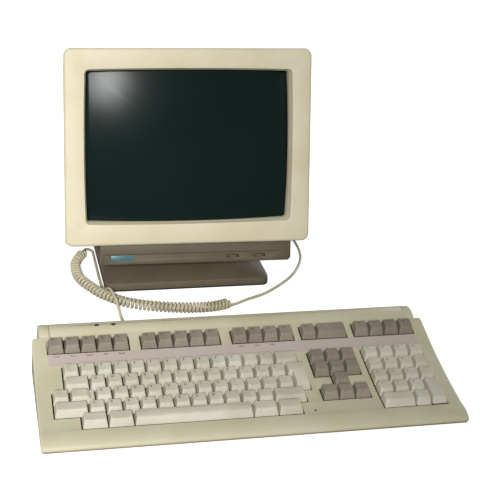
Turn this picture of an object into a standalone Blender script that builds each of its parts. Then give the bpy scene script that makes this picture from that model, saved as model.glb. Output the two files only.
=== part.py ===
"""A text terminal of the early 1990s: a monitor on a foot that swivels and tilts, and its keyboard.

Metres, +Z up, the user looks along +Y. The keyboard is centred on X = 0 and the table is Z = 0.
Depths are first measured from the front edge of the lowest row of keys, and the whole terminal is
moved at the end so that its own origin is the middle of its footprint.
"""

import math

import bmesh
import bpy
import numpy as np
from mathutils import Matrix, Vector

MM = 0.001
DEGREE = math.pi / 180

# General clearances and overruns
seat_gap = 0.3 * MM
running_gap = 0.5 * MM
overrun = 8.0 * MM
merge_reach = 0.001 * MM

# Key bank: the pitch drives the whole keyboard
key_pitch = 19.05 * MM
keys_across = 23.5
key_gap = 1.05 * MM
key_travel = 3.0 * MM
key_rise = 7.6 * MM
key_skirt = 0.6 * MM
key_side_draw = 2.7 * MM
key_front_draw = 3.3 * MM
key_back_draw = 1.6 * MM
key_dish = 0.9 * MM
stem_width = 6.0 * MM
well_gap = 0.9 * MM

# The bank is dished: its surface rises to the back along a parabola
dish_height = 14.0 * MM
dish_slope = 0.1176
dish_back = 141.0 * MM
dish_swell = 17.3 * MM
dish_curve = dish_swell / dish_back**2

# Keyboard case
keyboard_end = 17.4625 * MM
keyboard_width = keys_across * key_pitch + keyboard_end * 2
front_reach = 23.1 * MM
case_skin = 2.4 * MM
case_rim_height = 4.0 * MM
floor_height = 2.0 * MM
floor_inset = 1.2 * MM
corner_draw = 3.0 * MM
side_wall = 3.0 * MM

# Round bar along the back of the keyboard, with a turning foot at each end
bar_radius = 22.8 * MM
bar_depth_place = 155.0 * MM
bar_height_place = 30.0 * MM
hollow_end = 226.0
foot_cap_width = 12.1 * MM
foot_cap_inset = 8.8 * MM
lobe_reach = 33.0 * MM
lobe_radius = 5.0 * MM
lobe_rest_angle = -35.0 * DEGREE
foot_axle_radius = 5.0 * MM
foot_axle_length = 6.0 * MM

# Sheets below the keys, measured down from the dished surface
mat_depth = 4.2 * MM
mat_thickness = 1.0 * MM
mat_width = 12.0 * MM
mat_end_inset = 6.0 * MM
guide_depth = 3.9 * MM
guide_thickness = 2.0 * MM
guide_margin = 6.0 * MM
guide_rib_top = 2.7 * MM
board_depth = 8.5 * MM
board_thickness = 1.0 * MM
post_width = 8.0 * MM
post_across_shares = (2.0, 11.8, 21.5)
post_row_shares = (0.5, 2.5, 4.5, 6.6)

# Status lights
light_width = 5.0 * MM
light_depth = 2.4 * MM
light_pitch = 20.0 * MM
first_light = 61.0 * MM
light_pipe_drop = 9.0 * MM
light_pipe_height = 4.0 * MM

# Rubber strips below the keyboard
strip_height = 1.7 * MM
strip_width = 10.0 * MM
strip_end_inset = 30.0 * MM

# Monitor: where it stands and how it is turned in the photograph
ball_across = -15.3 * MM
ball_depth = 447.1 * MM
ball_height = 130.0 * MM
rest_yaw = -1.62 * DEGREE
rest_tilt = 14.96 * DEGREE
screen_ahead = 102.4 * MM
screen_above = 43.7 * MM

# Front bezel
screen_width = 266.0 * MM
screen_height = 195.8 * MM
screen_corner = 5.0 * MM
screen_bow = 2.2 * MM
bezel_side = 33.3 * MM
bezel_top = 32.2 * MM
bezel_bottom = 33.8 * MM
bezel_depth = 20.0 * MM
bezel_corner = 10.0 * MM
bezel_edge_radius = 4.0 * MM
bezel_chamfer_width = 7.0 * MM
bezel_chamfer_depth = 8.0 * MM
bezel_lip = 4.0 * MM
bezel_wall = 3.2 * MM
boss_radius = 4.0 * MM
boss_end = 23.7 * MM
face_overlap = 10.0 * MM
boss_room = 9.0 * MM
tube_half_width = screen_width / 2 + face_overlap
tube_half_height = screen_height / 2 + face_overlap
boss_across = tube_half_width + boss_room
boss_up = tube_half_height + boss_room

# Rear housing: half widths and tops at named depths behind the bezel
housing_wall = 3.0 * MM
housing_inset = 1.0 * MM
shoulder_depth = 120.0 * MM
shoulder_draw = 6.3 * MM
shoulder_half_width = screen_width / 2 + bezel_side - shoulder_draw
shoulder_fall = 9.1 * MM
shoulder_top = screen_height / 2 + bezel_top - shoulder_fall
waist_depth = 215.0 * MM
waist_half_width = 126.0 * MM
waist_top = 93.0 * MM
neck_end = 300.7 * MM
tail_room = 25.3 * MM
housing_depth = neck_end + tail_room
housing_back_half_width = 98.0 * MM
housing_back_top = 66.0 * MM
housing_back_draw = 6.0 * MM
housing_corner = 14.0 * MM
vent_width = 2.6 * MM
vent_length = 62.0 * MM
vent_pitch = 11.0 * MM
vent_rows = 7
rear_vent_rows = 7
rear_vent_length = 34.0 * MM

# Electronics tray under the housing, grey-brown at the front
tray_front = 15.0 * MM
tray_left = 119.0 * MM
tray_right = 144.5 * MM
tray_draw = 3.5 * MM
chin_top = 34.4 * MM
chin_height = 28.2 * MM
chin_depth = 21.0 * MM
belly_drop = 80.0 * MM
belly_start = 29.0 * MM
tray_back_half_width = 95.0 * MM
tray_back_height = 27.0 * MM
tray_wall = 3.0 * MM

# Groove across the chin and the seat of the plate below it
groove_drop = 14.7 * MM
groove_height = 0.8 * MM
groove_depth = 0.8 * MM
groove_left_inset = 7.0 * MM
groove_right_inset = 14.5 * MM
plate_width = 32.0 * MM
plate_height = 8.0 * MM
plate_inset = 14.0 * MM
plate_gap = 0.4 * MM
plate_seat_depth = 0.6 * MM
plate_corner = 1.4 * MM

# Thumbwheels in the chin
wheel_radius = 9.0 * MM
wheel_thickness = 3.0 * MM
wheel_proud = 1.4 * MM
wheel_shaft_radius = 2.0 * MM
wheel_tooth_count = 16
first_wheel = 63.5 * MM
wheel_pitch = 36.9 * MM
wheel_drop = 20.4 * MM
thumb_recess_width = 22.0 * MM
thumb_recess_height = 7.6 * MM
thumb_recess_depth = 1.2 * MM
thumb_foot_share = 0.625
thumb_shelf_share = 0.125

# Picture tube
tube_corner = 18.0 * MM
face_apex = 6.0 * MM
face_sag = 11.0 * MM
face_draw = 3.0 * MM
rim_front = 22.0 * MM
rim_back = 40.0 * MM
funnel_depth = 130.0 * MM
funnel_half_width = 80.0 * MM
funnel_half_height = 62.0 * MM
throat_depth = 168.0 * MM
throat_half_width = 36.0 * MM
throat_run = 18.0 * MM
neck_start = throat_depth + throat_run
neck_radius = 14.5 * MM
face_glass = 9.0 * MM
funnel_glass = 4.0 * MM
neck_glass = 2.5 * MM
band_gap = 0.6 * MM
band_thickness = 1.5 * MM
ear_half_width = 11.0 * MM

# Yoke and socket board on the neck
yoke_flange = 6.0 * MM
yoke_start = throat_depth + yoke_flange
yoke_length = 42.0 * MM
yoke_end = yoke_start + yoke_length
yoke_mouth_room = 6.0 * MM
yoke_mouth_radius = throat_half_width + yoke_mouth_room
yoke_lip = 10.0 * MM
yoke_winding = 2.0 * MM
yoke_body_radius = yoke_mouth_radius + yoke_winding
yoke_flange_radius = yoke_body_radius + yoke_lip
yoke_tail = 14.5 * MM
yoke_tail_radius = neck_radius + yoke_tail
neck_clearance = 0.6 * MM
socket_radius = 19.0 * MM
socket_length = 9.0 * MM
socket_board_half = 30.0 * MM
circuit_thickness = 1.6 * MM

# Main board in the tray
main_board_front = 60.0 * MM
board_back_room = 24.0 * MM
main_board_back = housing_depth - board_back_room
main_board_half_width = 78.0 * MM
main_board_lift = 5.0 * MM
flyback_inset = 66.0 * MM
flyback_depth = main_board_back - flyback_inset
flyback_across = 48.0 * MM
flyback_radius = 17.0 * MM
flyback_height = 36.0 * MM
flyback_shoulder_share = 0.7
flyback_top_share = 0.8

# Chips on the main board: place across, place along, width and length, as shares of its half width
# and of its length
board_chip_shares = (
    (-0.51, 0.21, 0.44, 0.06),
    (0.13, 0.25, 0.33, 0.11),
    (-0.64, 0.45, 0.38, 0.05),
    (0.0, 0.54, 0.23, 0.165),
)
chip_height = 4.0 * MM

# Sockets in the back wall of the tray
socket_lip = 1.2 * MM
serial_across = -38.0 * MM
serial_width = 53.0 * MM
serial_height = 12.5 * MM
serial_shell_width = 39.0 * MM
serial_shell_height = 8.6 * MM
serial_shell_length = 6.0 * MM
serial_shell_wall = 0.8 * MM
comm_across = 28.0 * MM
comm_width = 29.0 * MM
comm_height = 12.4 * MM
comm_hole_width = 10.2 * MM
comm_hole_height = 7.4 * MM
comm_hole_pitch = 14.0 * MM
comm_depth = 14.0 * MM
comm_hole_depth = 11.0 * MM
jack_width = 14.0 * MM
jack_height = 12.4 * MM
plug_width = 7.6 * MM
plug_height = 6.6 * MM
plug_inside = 7.0 * MM
plug_outside = 13.0 * MM
plug_sleeve = 11.0 * MM
plug_sleeve_share = 0.8
inlet_across = 72.0 * MM
inlet_width = 27.0 * MM
inlet_height = 19.6 * MM
inlet_depth = 20.0 * MM
inlet_hole_width = 22.4 * MM
inlet_hole_height = 15.0 * MM
inlet_hole_depth = 15.0 * MM
switch_across = -80.0 * MM
switch_width = 11.0 * MM
switch_height = 19.0 * MM
switch_depth = 10.0 * MM
switch_rock = 8.0 * DEGREE
rocker_share = 0.8

# Dome, dish and foot
dome_radius = 100.0 * MM
dish_radius = 44.0 * MM
dish_rim = 2.0 * MM
dish_base_radius = 52.0 * MM
dish_floor = 3.7 * MM
stem_radius = 12.0 * MM
groove_radius = 10.0 * MM
stem_tip = 4.0 * MM
clip_radius = 20.0 * MM
clip_height = 3.2 * MM
clip_mouth = 50.0 * DEGREE
foot_half_width = 115.0 * MM
foot_corner = 10.0 * MM
foot_lip_top = 11.5 * MM
foot_draw = 0.8 * MM
foot_wall = 4.0 * MM
foot_plate = 3.0 * MM
plateau_radius = 58.0 * MM
ring_width = 3.4 * MM

# Cord
cord_radius = 1.8 * MM
curl_outer_radius = 6.0 * MM
curl_count = 54
points_per_curl = 8
plug_exit_across = -110.5 * MM
keyboard_plug_height = 13.0 * MM
table_lift = 0.1 * MM
cord_reach_share = 0.004
route_spacing = 2.0 * MM
lead_spacing_share = 6.4
tail_spacing_share = 7.2
lead_bend = 30.0 * DEGREE
plug_dip = 2.0 * MM
plug_slack = 17.0 * MM
plug_droop = 12.0 * MM
plug_sway = 2.0 * MM

# Where the cord lies, in millimetres: across, behind the lowest key row, and its lift off the table
curl_plan = [(-147.5, 452), (-151, 440), (-158.5, 424), (-164.5, 402), (-162.5, 365), (-148.5, 334)]
curl_plan += [(-133.5, 312), (-109.5, 290), (-77.5, 276), (-44.5, 268), (-11.5, 265), (14.5, 268)]
curl_plan += [(34.5, 277)]
keyboard_lead_plan = [(-113, 216, 0), (-115.5, 232, 0), (-118.5, 252, 1), (-120.5, 266, 6)]
keyboard_lead_plan += [(-122.5, 282, 12), (-124.5, 298, 12.6), (-127, 314, 11), (-130.5, 330, 4)]
keyboard_lead_plan += [(-133.5, 346, 0), (-134.2, 370, 0), (-134.2, 400, 0), (-134.2, 430, 0)]
keyboard_lead_plan += [(-134, 452, 0), (-136, 460, 0), (-140.7, 464, 0), (-145.2, 462, 0)]
terminal_lead_plan = [(58, 290, 0), (84, 303, 0), (108, 322, 0), (134, 348, 0), (154, 378, 0)]
terminal_lead_plan += [(168, 412, 0), (173, 450, 0), (171, 500, 0), (163, 560, 0), (146, 620, 0)]
terminal_lead_plan += [(116, 672, 0), (76, 706, 0), (40, 719, 0), (14, 720, 1.5)]
terminal_lead_plan += [(-2, 717.5, 7.1), (-11.5, 712.5, 20.1)]

# How finely round forms are cut
facet_count = 24
corner_step_count = 3
side_point_count = 3
foot_step_count = 5

COLOURS = {
    "beige": (0.69, 0.60, 0.43, 1.0),
    "case": (0.58, 0.57, 0.42, 1.0),
    "light_key": (0.68, 0.66, 0.55, 1.0),
    "dark_key": (0.27, 0.24, 0.19, 1.0),
    "grey_brown": (0.14, 0.12, 0.09, 1.0),
    "glass": (0.006, 0.012, 0.012, 1.0),
    "steel": (0.55, 0.56, 0.58, 1.0),
    "rubber": (0.03, 0.03, 0.03, 1.0),
    "board": (0.05, 0.18, 0.08, 1.0),
    "copper": (0.45, 0.20, 0.10, 1.0),
    "cord": (0.36, 0.33, 0.20, 1.0),
    "black": (0.02, 0.02, 0.02, 1.0),
}
METALS = {"steel": 1.0, "copper": 1.0}
ROUGHNESS = {"glass": 0.08, "rubber": 0.8, "steel": 0.35, "copper": 0.4}


def material(name, colour):
    """A piece's own Principled material, in a colour of the palette."""
    made = bpy.data.materials.new(f"{name}_{colour}")
    made.use_nodes = True
    shader = made.node_tree.nodes["Principled BSDF"]
    shader.inputs["Base Color"].default_value = COLOURS[colour]
    shader.inputs["Roughness"].default_value = ROUGHNESS.get(colour, 0.5)
    shader.inputs["Metallic"].default_value = METALS.get(colour, 0.0)
    return made


def empty(name, parent, place=(0, 0, 0), turn=(0, 0, 0)):
    """A frame that pieces hang on: its origin is a joint's axis or a sub-assembly's datum."""
    made = bpy.data.objects.new(name, None)
    bpy.context.scene.collection.objects.link(made)
    made.parent = parent
    made.location = place
    made.rotation_euler = turn
    return made


def finish(name, mesh, colour, parent, place=(0, 0, 0), turn=(0, 0, 0)):
    """Makes the named piece from a bmesh."""
    bmesh.ops.remove_doubles(mesh, verts=mesh.verts, dist=merge_reach)
    bmesh.ops.recalc_face_normals(mesh, faces=mesh.faces)
    data = bpy.data.meshes.new(name)
    mesh.to_mesh(data)
    mesh.free()
    data.materials.append(material(name, colour))
    data.shade_smooth()
    data.set_sharp_from_angle(angle=math.radians(32))
    made = bpy.data.objects.new(name, data)
    bpy.context.scene.collection.objects.link(made)
    made.parent = parent
    made.location = place
    made.rotation_euler = turn
    return made


def boolean(target, mesh, operation="DIFFERENCE"):
    """Cuts from, or joins to, a piece the closed shapes held in a bmesh."""
    name = f"{target.name}_{operation.lower()}_{len(target.modifiers)}"
    tool = finish(name, mesh, "black", target)
    tool.hide_render = True
    tool.display_type = "WIRE"
    modifier = target.modifiers.new(name, "BOOLEAN")
    modifier.operation = operation
    modifier.solver = "EXACT"
    modifier.object = tool
    return tool


def add_loft(mesh, loops, ring=False):
    """Skins loops of equal count. A ring closes on its first loop, otherwise both ends are capped."""
    rows = [[mesh.verts.new(point) for point in loop] for loop in loops]
    pairs = list(zip(rows, rows[1:]))
    if ring:
        pairs.append((rows[-1], rows[0]))
    for low, high in pairs:
        for i in range(len(low)):
            j = (i + 1) % len(low)
            mesh.faces.new((low[i], low[j], high[j], high[i]))
    if not ring:
        mesh.faces.new(rows[0][::-1])
        mesh.faces.new(rows[-1])
    return mesh


def add_box(mesh, low, high, turned=None):
    """A box between two corners, turned by an optional matrix."""
    (x0, y0, z0), (x1, y1, z1) = low, high
    loops = [[Vector((x, y, z)) for x, y in ((x0, y0), (x1, y0), (x1, y1), (x0, y1))] for z in (z0, z1)]
    if turned:
        loops = [[turned @ point for point in loop] for loop in loops]
    return add_loft(mesh, loops)


def box_about(mesh, centre, size, turned=None):
    """A box of a size about its centre."""
    half = [length / 2 for length in size]
    low = [c - h for c, h in zip(centre, half)]
    high = [c + h for c, h in zip(centre, half)]
    return add_box(mesh, low, high, turned)


def rounded_rect(
    half_width, half_height, radius, steps=corner_step_count, centre=(0, 0), bow=0.0, middles=0
):
    """Points of a rounded rectangle, anticlockwise, with optional bowed points along each side."""
    radius = min(radius, half_width, half_height)
    corners = [(1, 1, 0), (-1, 1, 90), (-1, -1, 180), (1, -1, 270)]
    points = []
    for index, (side, up, start) in enumerate(corners):
        middle = (side * (half_width - radius), up * (half_height - radius))
        for step in range(steps + 1):
            angle = math.radians(start + 90 * step / steps)
            points.append((middle[0] + radius * math.cos(angle), middle[1] + radius * math.sin(angle)))
        if middles:
            next_side, next_up, next_start = corners[(index + 1) % 4]
            turn = math.radians(next_start)
            end = (
                next_side * (half_width - radius) + radius * math.cos(turn),
                next_up * (half_height - radius) + radius * math.sin(turn),
            )
            start_point = points[-1]
            outward = (math.cos(turn), math.sin(turn))
            for k in range(1, middles + 1):
                share = k / (middles + 1)
                swell = bow * 4 * share * (1 - share)
                points.append(
                    (
                        start_point[0] + (end[0] - start_point[0]) * share + outward[0] * swell,
                        start_point[1] + (end[1] - start_point[1]) * share + outward[1] * swell,
                    )
                )
    return [(x + centre[0], y + centre[1]) for x, y in points]


def upright(points, depth):
    """Lays plan points in the X Z plane at a depth."""
    return [Vector((x, depth, z)) for x, z in points]


def level(points, height):
    """Lays plan points in the X Y plane at a height."""
    return [Vector((x, y, height)) for x, y in points]


def turned_loops(profile, facets=facet_count, axis="Z"):
    """Circles of a turned piece from (radius, place along the axis) pairs."""
    loops = []
    for radius, place in profile:
        circle = [
            (radius * math.cos(math.tau * i / facets), radius * math.sin(math.tau * i / facets))
            for i in range(facets)
        ]
        if axis == "Z":
            loops.append([Vector((x, y, place)) for x, y in circle])
        elif axis == "Y":
            loops.append([Vector((x, place, y)) for x, y in circle])
        else:
            loops.append([Vector((place, x, y)) for x, y in circle])
    return loops


# The dished surface of the key bank


def surface_height(depth):
    """Height of the case at a depth behind the front edge of the lowest row."""
    return dish_height + dish_slope * depth + dish_curve * depth * depth


def surface_angle(depth):
    """Slope angle of the dished surface at a depth."""
    return math.atan(dish_slope + 2 * dish_curve * depth)


def below_surface(depth, drop):
    """The point a drop below the surface, measured along its normal."""
    angle = surface_angle(depth)
    return depth + drop * math.sin(angle), surface_height(depth) - drop * math.cos(angle)


def key_x(units):
    """Place across the keyboard of a count of key pitches from the left edge of the key bank."""
    return (units - keys_across / 2) * key_pitch


def plate_from_cells(x_lines, y_lines, filled, point, top, bottom):
    """A plate made of the filled cells of a grid. point(x, y, level) places its corners."""
    mesh = bmesh.new()
    corners = {}

    def corner(i, j, side):
        if (i, j, side) not in corners:
            place = point(x_lines[i], y_lines[j], (bottom, top)[side])
            corners[i, j, side] = mesh.verts.new(place)
        return corners[i, j, side]

    cells = {
        (i, j)
        for i in range(len(x_lines) - 1)
        for j in range(len(y_lines) - 1)
        if filled((x_lines[i] + x_lines[i + 1]) / 2, (y_lines[j] + y_lines[j + 1]) / 2)
    }
    for i, j in cells:
        around = [(i, j), (i + 1, j), (i + 1, j + 1), (i, j + 1)]
        mesh.faces.new([corner(a, b, 1) for a, b in around])
        mesh.faces.new([corner(a, b, 0) for a, b in around[::-1]])
        for side, neighbour in enumerate([(i, j - 1), (i + 1, j), (i, j + 1), (i - 1, j)]):
            if neighbour not in cells:
                a, b = around[side], around[(side + 1) % 4]
                mesh.faces.new((corner(*a, 0), corner(*b, 0), corner(*b, 1), corner(*a, 1)))
    bmesh.ops.dissolve_limit(
        mesh,
        angle_limit=math.radians(0.05),
        verts=mesh.verts,
        edges=mesh.edges,
        use_dissolve_boundaries=False,
    )
    return mesh


def on_bank(x, depth, drop):
    """A corner of a plate that follows the dished surface."""
    y, z = below_surface(depth, drop)
    return Vector((x, y, z))


def on_flat(x, y, height):
    """A corner of a flat plate."""
    return Vector((x, y, height))


# Keys: rows by their front edge in pitches, and groups by their keys' left and right edges

row_shares = {"A": 0.0, "B": 1.0, "C": 2.0, "D": 3.0, "E": 4.0, "F": 6.08}


def run_of(row, start, widths):
    """Neighbouring keys of one row as (left, right, front, back) in pitches."""
    keys = []
    for width in widths:
        keys.append((start, start + width, row_shares[row], row_shares[row] + 1))
        start += width
    return keys


key_group_shares = {
    "function_keys_f1_f5": ("dark_key", run_of("F", 0, [1] * 5)),
    "function_keys_f6_f10": ("dark_key", run_of("F", 5.75, [1] * 5)),
    "function_keys_f11_f14": ("dark_key", run_of("F", 11.5, [1] * 4)),
    "help_key": ("dark_key", run_of("F", 16, [1])),
    "do_key": ("dark_key", run_of("F", 17, [2])),
    "function_keys_f17_f20": ("dark_key", run_of("F", 19.5, [1] * 4)),
    "number_row_keys": ("light_key", run_of("E", 0.75, [1] * 13)),
    "delete_key": ("light_key", run_of("E", 13.75, [1.5])),
    "tab_key": ("light_key", run_of("D", 0.75, [1.5])),
    "top_letter_row_keys": ("light_key", run_of("D", 2.25, [1] * 12)),
    "return_key": ("light_key", [(14.25, 15.5, 2, 4)]),
    "control_key": ("light_key", run_of("C", 0, [1])),
    "lock_key": ("light_key", run_of("C", 1, [1.5])),
    "home_letter_row_keys": ("light_key", run_of("C", 2.5, [1] * 12)),
    "left_shift_key": ("light_key", run_of("B", 0, [2])),
    "bottom_letter_row_keys": ("light_key", run_of("B", 2, [1] * 11)),
    "right_shift_key": ("light_key", run_of("B", 13, [2])),
    "space_bar": ("light_key", run_of("A", 4.5, [7])),
    "left_compose_keys": ("light_key", run_of("A", 1.5, [1.5, 1.5])),
    "right_compose_keys": ("light_key", run_of("A", 11.5, [1.5, 1.5])),
    "editing_keys": ("dark_key", run_of("D", 16, [1] * 3) + run_of("E", 16, [1] * 3)),
    "cursor_keys": ("dark_key", run_of("B", 16, [1] * 3) + run_of("C", 17, [1])),
    "keypad_keys": (
        "light_key",
        run_of("A", 21.5, [1])
        + run_of("B", 19.5, [1] * 3)
        + run_of("C", 19.5, [1] * 4)
        + run_of("D", 19.5, [1] * 4)
        + run_of("E", 19.5, [1] * 4),
    ),
    "keypad_enter_key": ("light_key", [(22.5, 23.5, 0, 2)]),
    "keypad_zero_key": ("light_key", run_of("A", 19.5, [2])),
}


def mat_cells(keys):
    """Rectangles of the rubber spring mat under a group of keys: one per row, linked between rows."""
    rows = {}
    for left, right, front, back in keys:
        low, high = rows.get((front, back), (left, right))
        rows[front, back] = (min(low, left), max(high, right))
    cells = []
    ordered = sorted(rows)
    half = mat_width / 2
    for front, back in ordered:
        left, right = rows[front, back]
        middle = (front + back) / 2 * key_pitch
        ends = (key_x(left) + mat_end_inset, key_x(right) - mat_end_inset)
        cells.append((*ends, middle - half, middle + half))
    for low, high in zip(ordered, ordered[1:]):
        left = max(rows[low][0], rows[high][0])
        right = min(rows[low][1], rows[high][1])
        start = (low[0] + low[1]) / 2 * key_pitch + half
        end = (high[0] + high[1]) / 2 * key_pitch - half
        cells.append((key_x(left) + mat_end_inset, key_x(right) - mat_end_inset, start, end))
    return cells


def inside_any(cells, margin=0.0):
    """A test for a point being in one of the rectangles grown by a margin."""

    def test(x, y):
        return any(
            left - margin < x < right + margin and front - margin < y < back + margin
            for left, right, front, back in cells
        )

    return test


def group_middle(keys):
    """Depth of the middle of a group, where its joint's direction is taken."""
    front = min(key[2] for key in keys)
    back = max(key[3] for key in keys)
    return (front + back) / 2 * key_pitch


def add_cap(mesh, key, style):
    """One key cap with its stem, in its own place on the dished surface."""
    left, right, front, back = key
    middle = (front + back) / 2 * key_pitch
    turn = surface_angle(middle)
    place = Matrix.Translation(
        (key_x((left + right) / 2), middle, surface_height(middle))
    ) @ Matrix.Rotation(turn, 4, "X")
    half_width = ((right - left) * key_pitch - key_gap) / 2
    half_depth = ((back - front) * key_pitch / math.cos(turn) - key_gap) / 2
    top_half = half_width - key_side_draw
    top_front = -half_depth + key_front_draw
    top_back = half_depth - key_back_draw

    def put(points):
        return [mesh.verts.new(place @ Vector(point)) for point in points]

    if style == "return":
        notch = -half_width + key_pitch / 4
        outline = [
            (notch, -half_depth),
            (half_width, -half_depth),
            (half_width, half_depth),
            (-half_width, half_depth),
            (-half_width, key_gap),
            (notch, key_gap),
        ]
        draws = [
            (key_side_draw, key_front_draw),
            (-key_side_draw, key_front_draw),
            (-key_side_draw, -key_back_draw),
            (key_side_draw, -key_back_draw),
            (key_side_draw, key_front_draw),
            (key_side_draw, key_front_draw),
        ]
        base = put([(x, y, -key_skirt) for x, y in outline])
        top = put([(x + dx, y + dy, key_rise) for (x, y), (dx, dy) in zip(outline, draws)])
        for i in range(6):
            j = (i + 1) % 6
            mesh.faces.new((base[i], base[j], top[j], top[i]))
        mesh.faces.new(top)
        rim = base
    else:
        rim = put(
            [
                (-half_width, -half_depth, -key_skirt),
                (half_width, -half_depth, -key_skirt),
                (half_width, half_depth, -key_skirt),
                (-half_width, half_depth, -key_skirt),
            ]
        )
        top_left, top_right = -top_half, top_half
        if style == "stepped":
            # The right third of the lock key is a low step
            top_right = half_width - key_pitch / 2
        dip = -key_dish if style == "bar" else key_dish
        bend = (top_right - top_left) / 4
        across = [top_left, top_left + bend, top_right - bend, top_right]
        heights = [key_rise, key_rise - dip, key_rise - dip, key_rise]
        near = put([(x, top_front, z) for x, z in zip(across, heights)])
        far = put([(x, top_back, z) for x, z in zip(across, heights)])
        if style == "stepped":
            step_height = key_rise / 2
            draw_share = (step_height + key_skirt) / (key_rise + key_skirt)
            step_x = [top_right, half_width - key_side_draw * draw_share]
            step_near = put([(x, -half_depth + key_front_draw * draw_share, step_height) for x in step_x])
            step_far = put([(x, half_depth - key_back_draw * draw_share, step_height) for x in step_x])
            mesh.faces.new((rim[0], rim[1], step_near[1], step_near[0], near[3], near[2], near[1], near[0]))
            mesh.faces.new((rim[2], rim[3], far[0], far[1], far[2], far[3], step_far[0], step_far[1]))
            mesh.faces.new((rim[1], rim[2], step_far[1], step_near[1]))
            mesh.faces.new((step_near[0], step_near[1], step_far[1], step_far[0]))
            mesh.faces.new((near[3], step_near[0], step_far[0], far[3]))
        else:
            mesh.faces.new((rim[0], rim[1], near[3], near[2], near[1], near[0]))
            mesh.faces.new((rim[2], rim[3], far[0], far[1], far[2], far[3]))
            mesh.faces.new((rim[1], rim[2], far[3], near[3]))
        mesh.faces.new((rim[3], rim[0], near[0], far[0]))
        for i in range(3):
            mesh.faces.new((near[i], near[i + 1], far[i + 1], far[i]))
    half = stem_width / 2
    corners = [(-half, -half), (half, -half), (half, half), (-half, half)]
    foot_level = -mat_depth - mat_thickness / 2
    neck = put([(x, y, -key_skirt) for x, y in corners])
    foot = put([(x, y, foot_level) for x, y in corners])
    for i in range(4):
        j = (i + 1) % 4
        mesh.faces.new((neck[j], neck[i], foot[i], foot[j]))
    mesh.faces.new(foot)
    return rim, neck


def add_underside(mesh, rim, neck):
    """Closes the underside of a cap between its rim and its stem."""
    for a, b in ((0, 1), (1, 2), (2, 3), (3, 0)):
        mesh.faces.new((rim[b], rim[a], neck[a], neck[b]))


def build_keys(parent):
    """Every group of keys: caps on stems, joined by the strip of rubber mat that springs them."""
    for name, (colour, keys) in key_group_shares.items():
        style = {"return_key": "return", "lock_key": "stepped", "space_bar": "bar"}.get(name, "dished")
        mesh = bmesh.new()
        for key in keys:
            rim, neck = add_cap(mesh, key, style)
            if style == "return":
                add_return_underside(mesh, rim, neck)
            else:
                add_underside(mesh, rim, neck)
        middle = group_middle(keys)
        slide = (0, middle, surface_height(middle))
        group = finish(name, mesh, colour, parent)
        group.data.transform(Matrix.Translation(-Vector(slide)))
        group.location = slide
        cells = mat_cells(keys)
        x_lines = sorted({value for cell in cells for value in cell[:2]})
        y_lines = sorted({value for cell in cells for value in cell[2:]})
        mat = plate_from_cells(
            x_lines, y_lines, inside_any(cells), on_bank, mat_depth, mat_depth + mat_thickness
        )
        tool = boolean(group, mat, "UNION")
        tool.location = -Vector(slide)


def add_return_underside(mesh, rim, neck):
    """Closes the underside of the L-shaped return key."""
    mesh.faces.new((rim[1], rim[0], neck[0], neck[1]))
    mesh.faces.new((rim[2], rim[1], neck[1], neck[2]))
    mesh.faces.new((rim[3], rim[2], neck[2], neck[3]))
    mesh.faces.new((rim[0], rim[5], rim[4], rim[3], neck[3], neck[0]))


# Keyboard case


def bar_point(radius, angle):
    """A point of a circle about the bar's axis, angle measured from +Y upwards."""
    return (
        bar_depth_place + radius * math.cos(angle),
        bar_height_place + radius * math.sin(angle),
    )


def meeting_depth(radius, inset):
    """Depth at which the dished surface, an inset down, comes to a circle about the bar's axis."""
    depth = dish_back
    for attempt in range(400):
        y, z = below_surface(depth, inset)
        if math.hypot(y - bar_depth_place, z - bar_height_place) >= radius:
            break
        depth -= radius / 400
    return depth


def case_profile(inset, behind):
    """Side profile of the case as (depth, height), from the front seam over the top to the back seam.

    behind is true where the round bar closes the back, and false beside it, where the case ends in
    a hollow that follows the turning foot.
    """
    front_rise = dish_height - case_rim_height
    points = []
    for step in range(5):
        angle = math.radians(90 * step / 5)
        reach = front_reach - inset
        points.append((-reach * math.cos(angle), case_rim_height + (front_rise - inset) * math.sin(angle)))
    hollow = bar_radius + running_gap + inset
    met = meeting_depth(hollow, inset)
    for share in np.linspace(0, 1, 9):
        points.append(below_surface(share * met, inset))
    if behind:
        arc = [below_surface(dish_back, inset)]
        arc += [bar_point(bar_radius - inset, angle) for angle in np.radians(np.linspace(118, -20, 12))]
    else:
        y, z = points[-1]
        start = math.degrees(math.atan2(z - bar_height_place, y - bar_depth_place))
        arc = [bar_point(hollow, angle) for angle in np.radians(np.linspace(start, hollow_end, 14))][1:]
    points += arc
    points.append((arc[-1][0], case_rim_height))
    points.append((bar_point(hollow, math.radians(hollow_end))[0], case_rim_height))
    return points


def case_solid(inset, drop):
    """The case's outer form, or with an inset its hollow, which runs a drop below the rim."""
    half = keyboard_width / 2 - (side_wall if inset else 0)
    bar_end = keyboard_width / 2 - foot_cap_inset - foot_cap_width - running_gap - inset
    beside = case_profile(inset, False)
    behind = case_profile(inset, True)
    corner = case_profile(inset + (0 if inset else corner_draw / 2), False)
    stations = [(-half, corner), (-half + corner_draw, beside), (-bar_end, beside), (-bar_end, behind)]
    stations += [(bar_end, behind), (bar_end, beside), (half - corner_draw, beside), (half, corner)]
    loops = []
    for x, profile in stations:
        rim = case_rim_height + merge_reach
        loops.append([Vector((x, y, z - (drop if z < rim else 0))) for y, z in profile])
    return add_loft(bmesh.new(), loops)


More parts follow.
